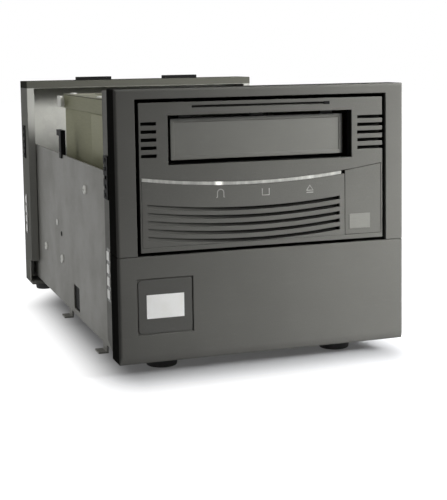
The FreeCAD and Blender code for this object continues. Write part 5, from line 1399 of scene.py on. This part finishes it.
@dataclass
class CartridgeDoor(Assembly):
    """The hinged door behind the slot, its pin and its wound spring."""

    coats: tuple[Coat, ...] = (
        Coat(DOOR_GREY, ("cartridge_door",), 0.35 * MM),
        Coat(STEEL, ("door_pin",)),
    )
    wire: float = 0.25 * MM
    turns: float = 9.0
    turn_steps: int = 20
    wire_sides: int = 8
    leg_rise: float = 0.6

    def extras(self) -> None:
        """Wind the coil spring round the pin, with a leg down the door's back."""
        low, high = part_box("door_spring")
        centre = sum(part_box("door_pin"), Vector()) / 2
        radius = high.z - centre.z - self.wire
        tree = Pattern(
            "door_spring_coil", Radius=radius, Length=high.x - low.x - self.wire * 2, Wire=self.wire,
            Turns=self.turns, Place=(low.x + self.wire, centre.y, centre.z), Turn=Facing.RIGHT.value,
        )
        coil = tree.node("GeometryNodeCurveSpiral", {}, {
            "Resolution": self.turn_steps, "Rotations": tree.given("Turns"), "Height": tree.given("Length"),
            "Start Radius": tree.given("Radius"), "End Radius": tree.given("Radius"),
        })
        work = bmesh.new()
        work.from_mesh(tree.run(tree.wired(coil, self.wire_sides), DARK_WIRE))
        leg_x = (low.x + high.x) / 2
        Stock.block(
            work, (leg_x - self.wire, high.y - self.wire * 2, low.z),
            (leg_x + self.wire, high.y, centre.z + radius * self.leg_rise),
        )
        self.bench.deliver("door_spring_wound", work, DARK_WIRE, "door_spring", ("door_spring",), SMOOTH)


@dataclass
class DriveBody(Assembly):
    """The drive's casting, covers, boards and sockets."""

    coats: tuple[Coat, ...] = (
        Coat(OLIVE_CAST, ("drive_base",), 0.4 * MM),
        Coat(OLIVE_SHEET, ("drive_cover",), 0.3 * MM),
        Coat(RECEIVER, ("receiver",), 0.2 * MM),
        Coat(BLACK_PLASTIC, ("drive_sockets",), 0.3 * MM),
        Coat(BLACK_PLASTIC, ("board_parts",), 0.25 * MM),
        Coat(OLIVE_SHEET, ("drive_bottom_plate",)),
        Coat(GREEN_BOARD, ("drive_circuit_board",)),
        Coat(TURNED, ("board_standoffs",)),
    )
    rib_count: int = 6
    rib_pitch: float = 22.0 * MM
    rib_width: float = 5.0 * MM
    rib_z: Span = (-0.3 * MM, 0.7 * MM)
    rib_round: float = 0.65 * MM
    rib_faces: int = 3
    rib_margin: float = 28.0 * MM
    screw_radius: float = 2.4 * MM
    screw_head: float = 0.9 * MM
    screw_inset: float = 5.0 * MM
    screw_shares: Point = (0.06, 0.5, 0.94)

    def extras(self) -> None:
        """Press long ribs into the cover's top and screw it to the casting's walls."""
        low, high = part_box("drive_cover")
        half = (high.y - low.y) / 2 - self.rib_margin
        bottom, top = self.rib_z
        work = bmesh.new()
        Stock.block(work, (-self.rib_width / 2, -half, bottom), (self.rib_width / 2, half, top))
        upper = [edge for edge in work.edges if max(vert.co.z for vert in edge.verts) > 0.0]
        Stock.bevel(work, upper, self.rib_round, self.rib_faces)
        middle = (0.0, (low.y + high.y) / 2, high.z)
        ribs = Pattern.row("cover_rib_row", work, self.rib_count, middle, self.rib_pitch, OLIVE_SHEET)
        self.bench.deliver("cover_ribs", ribs, OLIVE_SHEET, "drive_cover", smooth=SMOOTH)
        reach = high.x - self.screw_inset
        spots = [
            (reach * side.value, low.y + (high.y - low.y) * share, high.z)
            for share in self.screw_shares for side in Side
        ]
        heads = Fasteners.heads({Facing.UP: spots}, self.screw_radius, self.screw_head)
        self.bench.deliver("cover_screws", heads, SCREW, "screws", smooth=HEAD_SMOOTH)


@dataclass
class TapePath(Assembly):
    """Motors, hub, take-up reel with its wound tape, guide rollers and head."""

    coats: tuple[Coat, ...] = (
        Coat(MOTOR, ("reel_motors",), 0.5 * MM),
        Coat(WHITE_PLASTIC, ("supply_hub",), 0.3 * MM),
        Coat(REEL_BLACK, ("takeup_reel",), 0.3 * MM),
        Coat(TURNED, tuple(f"guide_roller_{number}" for number in range(1, 5)), 0.25 * MM),
        Coat(STEEL, ("roller_pins", "head_shafts")),
        Coat(OLIVE_CAST, ("head_base",), 0.3 * MM),
        Coat(TURNED, ("head_carriage",), 0.4 * MM),
        Coat(CERAMIC, ("head_block",), 0.6 * MM, 4),
        Coat(COPPER, ("voice_coil",)),
        Coat(MAGNET, ("coil_magnet",)),
    )
    core: float = 16.0 * MM
    pack: float = 27.0 * MM
    flange: float = 1.6 * MM
    play: float = 0.2 * MM
    reel_height: float = 17.0 * MM
    sides: int = 96

    def extras(self) -> None:
        """Wind tape between the reel's flanges."""
        low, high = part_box("takeup_reel")
        centre = (low + high) / 2
        bottom = high.z - self.reel_height + self.flange + self.play
        top = high.z - self.flange - self.play
        profile = [(self.core, bottom), (self.pack, bottom), (self.pack, top), (self.core, top)]
        work = Stock.turned(profile, self.sides, True)
        bmesh.ops.translate(work, vec=(centre.x, centre.y, 0.0), verts=work.verts)
        self.bench.deliver("wound_tape", work, REEL_BLACK, "takeup_reel", smooth=SMOOTH)


@dataclass
class Chassis(Assembly):
    """Sheet-metal tray, front plate, drive rails, power supply, side screws and strips."""

    coats: tuple[Coat, ...] = (
        Coat(ZINC, ("chassis_tray", "drive_rails"), 0.3 * MM),
        Coat(FLANGE, ("front_plate",), 0.3 * MM),
        Coat(SUPPLY, ("power_supply",), 0.5 * MM),
        Coat(CONTACT, ("contact_strips",), 0.22 * MM, 3),
        Coat(CLIP_BLACK, ("flange_clips",), 0.2 * MM),
    )
    sheet: float = 1.2 * MM
    shield_y: Span = (-116.0 * MM, -33.0 * MM)
    shield_z: Span = (107.5 * MM, 143.6 * MM)
    shield_thick: float = 0.7 * MM
    shield_edge: float = 0.2 * MM
    clip_y: Span = (13.0 * MM, 20.0 * MM)
    clip_grip: float = 2.5 * MM
    clip_rise: float = 12.5 * MM
    clip_top: float = 4.0 * MM
    clip_arm: float = 8.0 * MM
    clip_thick: float = 1.0 * MM
    angle_y: Span = (40.0 * MM, 53.0 * MM)
    angle_reach: float = 5.0 * MM
    angle_height: float = 9.0 * MM
    # Size of the dark sheets of painted shade behind the wall windows
    pad_y: Span = (-33.5 * MM, -10.5 * MM)
    pad_z: Span = (11.6 * MM, 31.0 * MM)
    pad_thick: float = 0.8 * MM
    tooth_wide: float = 11.5 * MM
    tooth_tall: float = 4.6 * MM
    tooth_pitch: float = 6.6 * MM
    tooth_rise: float = 0.5 * MM
    tooth_count: int = 4
    tooth_back: float = 0.15
    plug_spot: Span = (24.0 * MM, 58.3 * MM)
    plug_radius: float = 1.7 * MM
    rivet_spot: Span = (39.0 * MM, 64.5 * MM)
    rivet_radius: float = 2.2 * MM
    button_rise: float = 0.3 * MM
    button_sides: int = 24

    def extras(self) -> None:
        """Fit screws, shields, clips, angles, dark sheets of painted shade behind the windows, and buttons.
        """
        self.screws()
        self.shields()
        self.wall_clips()
        self.rear_angles()
        self.window_pads()
        self.clip_teeth()
        self.wall_button("wall_plugs", self.plug_spot, self.plug_radius, FOAM, "flange_clips")
        self.wall_button("wall_rivets", self.rivet_spot, self.rivet_radius, SCREW, "screws")

    def screws(self) -> None:
        """Stand cross-recessed screws in for the plain heads."""
        boxes = Stock.islands("screws")
        size = boxes[0][1] - boxes[0][0]
        spots: dict[Facing, list[Point]] = {Facing.LEFT: [], Facing.RIGHT: []}
        for low, high in boxes:
            facing = Facing.LEFT if high.x < 0 else Facing.RIGHT
            seat = high.x if facing is Facing.LEFT else low.x
            spots[facing].append((seat, (low.y + high.y) / 2, (low.z + high.z) / 2))
        heads = Fasteners.heads(spots, size.z / 2, size.x)
        self.bench.deliver("side_screws", heads, SCREW, "screws", ("screws",), HEAD_SMOOTH)

    def shields(self) -> None:
        """Fit a thin shield sheet to the front of each of the drive's sides."""
        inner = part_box("drive_base")[1].x
        work = bmesh.new()
        Stock.blocks(work, (inner, inner + self.shield_thick), self.shield_y, self.shield_z)
        Stock.bevel(work, work.edges[:], self.shield_edge)
        self.bench.deliver("side_shields", work, SHIELD, "drive_cover", smooth=SMOOTH)

    def wall_clips(self) -> None:
        """Hook a dark clip over the top of each of the tray's walls."""
        thick = self.clip_thick
        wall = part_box("drive_rails")[1].x
        inner, outer = wall - thick, wall + self.sheet + thick
        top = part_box("chassis_tray")[1].z
        upper = top + self.clip_rise
        arm = (self.clip_y[0], self.clip_y[1] + self.clip_arm)
        work = bmesh.new()
        for leg in ((outer - thick, outer), (inner, inner + thick)):
            Stock.blocks(work, leg, self.clip_y, (top - self.clip_grip, top))
        Stock.blocks(work, (inner, outer), self.clip_y, (top, upper))
        Stock.blocks(work, (inner, outer), arm, (upper, upper + self.clip_top))
        self.bench.deliver("wall_clips", work, CLIP_BLACK, "flange_clips")

    def rear_angles(self) -> None:
        """Fix a small bent angle to the rear upper corner of each of the drive's sides."""
        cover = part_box("drive_cover")[1]
        start, end = self.angle_y
        face = cover.x + self.angle_reach
        up = (cover.z - self.angle_height, cover.z - self.sheet)
        work = bmesh.new()
        Stock.blocks(work, (cover.x, face), (end - self.sheet, end), up)
        Stock.blocks(work, (face - self.sheet, face), (start, end), up)
        self.bench.deliver("rear_angles", work, BRIGHT, "drive_cover")

    def window_pads(self) -> None:
        """Put a dark sheet behind the window in each of the tray's walls: painted shade for the dark inside
        seen through it.
        """
        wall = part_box("drive_rails")[1].x
        work = bmesh.new()
        Stock.blocks(work, (wall - self.pad_thick, wall), self.pad_y, self.pad_z)
        self.bench.deliver("window_pads", work, CLIP_BLACK, "flange_clips")

    def clip_teeth(self) -> None:
        """Set the broad black teeth of the side clips on the flanges, but not on the pan's top tabs."""
        spots = []
        for low, high in Stock.islands("flange_clips"):
            centre = (low + high) / 2
            if abs(centre.x) * 2 < high.z:
                continue
            seat = math.copysign(min(abs(low.x), abs(high.x)), low.x)
            for step in range(self.tooth_count):
                up = (step - (self.tooth_count - 1) / 2) * self.tooth_pitch
                spots.append((seat, centre.y + self.tooth_wide * self.tooth_back, centre.z + up))
        tree = Pattern("clip_teeth", Size=(self.tooth_rise * 2, self.tooth_wide, self.tooth_tall))
        tooth = tree.node("GeometryNodeMeshCube", {}, {"Size": tree.given("Size")}, "Mesh")
        teeth = tree.run(tree.copies(tree.given("Geometry"), tooth), CLIP_BLACK, spots)
        self.bench.deliver("clip_teeth", teeth, CLIP_BLACK, "flange_clips")

    def wall_button(self, name: str, spot: Span, radius: float, finish: Finish, like: str) -> None:
        """Set a flat round button on the outside of each of the tray's walls.

        Args:
            name: The piece's name.
            spot: Along and up of its middle.
            radius: Its radius.
            finish: What it is dressed in.
            like: The CAD node whose body it rides on and whose slot is looked up.
        """
        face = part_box("drive_rails")[1].x + self.sheet
        tree = Pattern(name, Radius=radius, Depth=self.button_rise * 2, Turn=Facing.RIGHT.value)
        button = tree.node("GeometryNodeMeshCylinder", {}, {
            "Vertices": self.button_sides, "Radius": tree.given("Radius"), "Depth": tree.given("Depth"),
        }, "Mesh")
        copies = tree.copies(tree.given("Geometry"), button, Rotation=tree.given("Turn"))
        made = tree.run(copies, finish, [(face * side.value, *spot) for side in Side])
        self.bench.deliver(name, made, finish, like)


@dataclass
class RearPan(Assembly):
    """The rear pan with its fan, mains fittings, data connectors and number selector."""

    coats: tuple[Coat, ...] = (
        Coat(PAN, ("rear_pan",), 0.35 * MM),
        Coat(BLACK_PLASTIC, ("fan_frame", "ac_inlet", "power_switch"), 0.4 * MM),
        Coat(BLACK_PLASTIC, ("power_rocker",), 0.5 * MM, 3),
        Coat(BLACK_PLASTIC, ("id_selector",), 0.3 * MM),
        Coat(WHITE_PLASTIC, ("id_up_button", "id_down_button"), 0.4 * MM),
        Coat(TIN, ("data_connectors",), 0.25 * MM),
        Coat(STEEL, ("jack_screws",), 0.3 * MM),
        Coat(GREEN_BOARD, ("connector_board",)),
    )
    ring_count: int = 3
    ring_pitch: float = 8.0 * MM
    ring_first: float = 12.0 * MM
    ring_steps: int = 72
    guard_wire: float = 0.8 * MM
    guard_sides: int = 12
    spoke: float = 31.0 * MM
    hub: float = 12.0 * MM
    hub_short: float = 3.0 * MM
    # Inset from the hub's radius and depth behind its face, along its rounded nose
    hub_nose: tuple[Span, ...] = ((1.4 * MM, 0.0), (0.4 * MM, 0.5 * MM), (0.0, 1.6 * MM))
    hub_edge: float = 0.6 * MM
    shaft: float = 1.5 * MM
    shaft_edge: float = 0.2 * MM
    blade_count: int = 7
    blade_steps: int = 8
    blade_reach: Span = (11.0 * MM, 27.0 * MM)
    blade_pitch: Span = (44.0, 30.0)
    blade_chord: float = 15.0 * MM
    blade_taper: float = 0.92
    blade_camber: float = 1.4 * MM
    blade_half: float = 0.65 * MM
    blade_edge: float = 0.35
    blade_sweep: float = 2.0 * MM
    pin_pitch: float = 1.27 * MM
    pin_count: int = 33
    pin_half: Point = (0.22 * MM, 1.9 * MM, 0.1 * MM)
    pin_edge: float = 0.07 * MM
    pin_lift: float = 1.3 * MM
    pin_back: float = 2.9 * MM

    def extras(self) -> None:
        """Make guard, rotor and pins."""
        self.guard()
        self.rotor()
        self.pins()

    def guard(self) -> None:
        """Bend the fan guard's rings and spokes from round wire."""
        centre = sum(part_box("fan_guard"), Vector()) / 2
        tree = Pattern(
            "fan_guard_rings", Count=self.ring_count, First=ORIGIN, Pitch=ORIGIN, Gap=self.ring_pitch,
            Inner=self.ring_first, Wire=self.guard_wire, Place=tuple(centre), Turn=(QUARTER, 0.0, 0.0),
        )
        radius = tree.node("GeometryNodeInputIndex") * tree.given("Gap") + tree.given("Inner")
        circles = tree.copies(tree.line(), tree.circle(1.0, self.ring_steps), Scale=radius)
        rings = tree.node("GeometryNodeRealizeInstances", {}, {"Geometry": circles})
        work = bmesh.new()
        work.from_mesh(tree.run(tree.wired(rings, self.guard_sides), CHROME))
        for turn in (0.0, QUARTER):
            bmesh.ops.create_cone(
                work, cap_ends=True, segments=self.guard_sides, radius1=self.guard_wire,
                radius2=self.guard_wire, depth=self.spoke * 2,
                matrix=Matrix.Translation(centre) @ Matrix.Rotation(turn, 4, "Y"),
            )
        self.bench.deliver("fan_guard_wire", work, CHROME, "fan_guard", ("fan_guard",), SMOOTH)

    def blade_point(self, share: float, across: float, sign: int) -> Point:
        """A point on a blade's skin.

        Args:
            share: How far out it lies, from nought at the root to one at the tip.
            across: Where it lies along the chord, from -1 to 1.
            sign: 1 on the upper skin and -1 on the lower one.

        Returns:
            The point, on a blade that stands out along X.
        """
        root, tip = self.blade_reach
        steep, shallow = self.blade_pitch
        reach = root + (tip - root) * share
        pitch = math.radians(steep - (steep - shallow) * share)
        arch = 1.0 - across ** 2
        chord = across / 2 * self.blade_chord * (self.blade_taper + (1.0 - self.blade_taper) * share)
        skin = self.blade_half * (self.blade_edge + (1.0 - self.blade_edge) * arch)
        height = arch * self.blade_camber + sign * skin
        along = chord * math.cos(pitch) - height * math.sin(pitch)
        lift = chord * math.sin(pitch) + height * math.cos(pitch) + share * share * self.blade_sweep
        return (math.sqrt(max(reach * reach - lift * lift, 0.0)), along, lift)

    def blade(self) -> Work:
        """One swept and twisted blade that stands out along X from the Y axis.

        Returns:
            The blade, closed.
        """
        work = bmesh.new()
        steps = self.blade_steps
        sheets: list[dict[tuple[int, int], bmesh.types.BMVert]] = []
        for sign in (1, -1):
            sheet = {}
            for row in range(steps + 1):
                for column in range(steps + 1):
                    spot = self.blade_point(row / steps, 2.0 * column / steps - 1.0, sign)
                    sheet[row, column] = work.verts.new(spot)
            for row in range(steps):
                for column in range(steps):
                    ring = ((row, column), (row, column + 1), (row + 1, column + 1), (row + 1, column))
                    work.faces.new([sheet[spot] for spot in ring])
            sheets.append(sheet)
        upper, lower = sheets
        rim = [(step, 0) for step in range(steps)] + [(steps, step) for step in range(steps)]
        rim += [(step, steps) for step in range(steps, 0, -1)] + [(0, step) for step in range(steps, 0, -1)]
        for here, there in zip(rim, rim[1:] + rim[:1]):
            work.faces.new((upper[here], upper[there], lower[there], lower[here]))
        bmesh.ops.recalc_face_normals(work, faces=work.faces)
        return work

    def rotor(self) -> None:
        """Set swept blades round the fan's hub."""
        low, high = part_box("fan_rotor")
        centre = sum(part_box("fan_guard"), Vector()) / 2
        front, back = low.y, high.y - self.hub_short
        tree = Pattern(
            "fan_blades", self.blade(), Count=self.blade_count, Step=math.tau / self.blade_count,
            First=(centre.x, (front + back) / 2, centre.z), Pitch=ORIGIN,
        )
        angle = tree.node("GeometryNodeInputIndex") * tree.given("Step")
        turn = tree.node("ShaderNodeCombineXYZ", {}, {"Y": angle})
        blades = tree.run(tree.copies(tree.line(), tree.shape(), Rotation=turn), BLACK_PLASTIC)
        hub, edge, deep, end = self.hub, self.hub_edge, back - front, high.y - front
        work = Stock.turned([
            (0.0, 0.0), *((hub - inset, depth) for inset, depth in self.hub_nose),
            (hub, deep - edge), (hub - edge, deep), (self.shaft, deep),
            (self.shaft, end - self.shaft_edge), (0.0, end),
        ])
        place = Matrix.Translation((centre.x, front, centre.z)) @ Matrix.Rotation(-QUARTER, 4, "X")
        bmesh.ops.transform(work, matrix=place, verts=work.verts)
        work.from_mesh(blades)
        self.bench.deliver("fan_rotor_swept", work, BLACK_PLASTIC, "fan_rotor", ("fan_rotor",), SMOOTH)

    def pins(self) -> None:
        """Lay contacts along both faces of each data connector's tongue."""
        work = bmesh.new()
        Stock.block(work, tuple(-half for half in self.pin_half), self.pin_half)
        Stock.bevel(work, work.edges[:], self.pin_edge, 1)
        merged = bmesh.new()
        for low, high in Stock.islands("data_connectors"):
            centre = (low + high) / 2
            for lift in (-self.pin_lift, self.pin_lift):
                middle = (centre.x, high.y - self.pin_back, centre.z + lift)
                row = Pattern.row("pins", work.copy(), self.pin_count, middle, self.pin_pitch, GOLD)
                merged.from_mesh(row)
        work.free()
        self.bench.deliver("connector_contacts", merged, GOLD, "data_connectors")


@dataclass
class WiringAndFeet(Assembly):
    """The ribbon cable and sleeved power wiring inside, and the four rubber feet."""

    coats: tuple[Coat, ...] = (
        Coat(RIBBON, ("data_ribbon",), 0.3 * MM),
        Coat(SLEEVE, ("power_wiring",), 0.3 * MM),
        Coat(FOOT_RUBBER, ("feet",), 0.9 * MM, 3),
    )


@dataclass(frozen=True)
class Lamp:
    """A soft square lamp.

    Args:
        name: Its name.
        place: Where it hangs.
        aim: What it points at.
        size: Its side in metres.
        power: Its power in watts.
        spread: How wide its light fans out, in degrees.
    """

    name: str
    place: Point
    aim: Point
    size: float
    power: float
    spread: float = 180.0

    def hang(self) -> None:
        """Put the lamp in the scene."""
        data = bpy.data.lights.new(self.name, "AREA")
        data.shape = "SQUARE"
        data.size = self.size
        data.energy = self.power
        data.spread = math.radians(self.spread)
        lamp = bpy.data.objects.new(self.name, data)
        turn = (Vector(self.aim) - Vector(self.place)).to_track_quat("-Z", "Y")
        lamp.matrix_world = Matrix.Translation(self.place) @ turn.to_matrix().to_4x4()
        bpy.context.scene.collection.objects.link(lamp)


@dataclass
class Studio:
    """Camera, pale floor, soft light and white background."""

    image: tuple[int, int] = (447, 500)
    place: Point = (-0.23456, -0.76997, 0.17954)
    yaw: float = 18.751
    pitch: float = 5.5
    roll: float = -0.871
    focal: float = 1167.26
    drop: float = 82.27
    sensor: float = 36.0
    clip: float = 0.02
    floor_size: float = 8.0
    floor_tone: Tone = (0.40, 0.405, 0.42)
    floor_glow: float = 0.08
    shade_x: Span = (0.073, 0.111)
    shade_y: Span = (0.131, 0.197)
    shade_back: Span = (0.06, 0.16)
    shade_taper: float = 0.045
    world_light: float = 0.10
    lamps: tuple[Lamp, ...] = (
        Lamp("key_softbox", (0.60, -0.70, 0.45), (0.23, -0.15, 0.14), 0.3, 1.22, 35.0),
        Lamp("front_fill", (0.0, -1.4, 0.60), (0.05, 0.0, 0.08), 0.6, 0.2),
        Lamp("side_fill", (-1.1, 0.12, 0.60), (-0.09, 0.02, 0.09), 0.6, 1.0),
        Lamp("top_softbox", (0.35, 0.15, 1.3), (0.0, 0.0, 0.08), 1.0, 6.0),
    )

    def build(self) -> None:
        """Set up everything that isn't part of the object."""
        bpy.context.scene.view_settings.view_transform = "Standard"
        self.camera()
        self.floor()
        self.world()
        for lamp in self.lamps:
            lamp.hang()

    def camera(self) -> None:
        """Place the camera at the photograph's viewpoint."""
        yaw, pitch, roll = (math.radians(angle) for angle in (self.yaw, self.pitch, self.roll))
        ahead = Vector((
            math.sin(yaw) * math.cos(pitch), math.cos(yaw) * math.cos(pitch), -math.sin(pitch),
        ))
        right = Vector((math.cos(yaw), -math.sin(yaw), 0.0))
        up = right.cross(ahead)
        across = right * math.cos(roll) + up * math.sin(roll)
        upright = up * math.cos(roll) - right * math.sin(roll)
        data = bpy.data.cameras.new("viewpoint")
        data.sensor_fit = "VERTICAL"
        data.sensor_height = self.sensor
        data.lens = self.focal * self.sensor / self.image[1]
        data.shift_y = -self.drop / self.image[1]
        data.clip_start = self.clip
        camera = bpy.data.objects.new("viewpoint", data)
        turn = Matrix((across, upright, -ahead)).transposed().to_4x4()
        camera.matrix_world = Matrix.Translation(self.place) @ turn
        bpy.context.scene.collection.objects.link(camera)
        bpy.context.scene.camera = camera

    def floor(self) -> None:
        """Lay a pale floor whose glow fades under and beside the object, so that a painted shadow lies there
        over the object's own shadow.
        """
        work = bmesh.new()
        bmesh.ops.create_grid(work, x_segments=4, y_segments=4, size=self.floor_size / 2)
        floor = bpy.data.objects.new("floor", Stock.to_mesh(work, "floor"))
        bpy.context.scene.collection.objects.link(floor)
        made = bpy.data.materials.new("pale_floor")
        made.use_nodes = True
        graph = Graph(made.node_tree)
        paper = graph.node("ShaderNodeBsdfDiffuse", {}, {"Color": self.floor_tone})
        place = graph.spot()
        # Painted shadow: the glow drops near the object, less far out towards the back
        along = graph.axis(place, Axis.Y)
        taper = along.between(*self.shade_back) * self.shade_taper
        beside = 1.0 - (abs(graph.axis(place, Axis.X)) + taper).between(*self.shade_x)
        near = beside * (1.0 - abs(along).between(*self.shade_y))
        lift = self.seen(graph) * (1.0 - near * (1.0 - self.floor_glow))
        glow = graph.node("ShaderNodeEmission", {}, {"Color": EVEN, "Strength": lift})
        both = graph.node("ShaderNodeAddShader", {}, {0: paper, 1: glow})
        graph.node("ShaderNodeOutputMaterial", {}, {"Surface": both})
        floor.data.materials.append(made)

    @staticmethod
    def seen(graph: Graph) -> Wire:
        """One for camera, glossy and transmission rays, else nought."""
        path = graph.node("ShaderNodeLightPath", output="Is Camera Ray")
        return (path + path.part("Is Glossy Ray") + path.part("Is Transmission Ray")).over(0.5)

    def world(self) -> None:
        """White where it is seen, and plain soft light elsewhere."""
        world = bpy.data.worlds.new("white_room")
        world.use_nodes = True
        bpy.context.scene.world = world
        graph = Graph(world.node_tree)
        strength = self.seen(graph) * (1.0 - self.world_light) + self.world_light
        sky = graph.node("ShaderNodeBackground", {}, {"Color": EVEN, "Strength": strength})
        graph.node("ShaderNodeOutputWorld", {}, {"Surface": sky})


def main() -> None:
    """Load the frame, build every sub-assembly in order and set up the studio."""
    logging.basicConfig(level=logging.INFO, format="%(name)s: %(message)s")
    for leftover in list(bpy.data.objects):
        bpy.data.objects.remove(leftover)
    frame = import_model()
    bench = Bench(frame)
    for kind in (
        FrontMouldings, DriveBezel, CartridgeDoor, DriveBody, TapePath, Chassis, RearPan, WiringAndFeet,
    ):
        LOG.info("building %s", kind.__name__)
        kind(bench).build()
    Studio().build()
    LOG.info("%d pieces", len(bench.pieces))


if __name__ == "__main__":
    main()
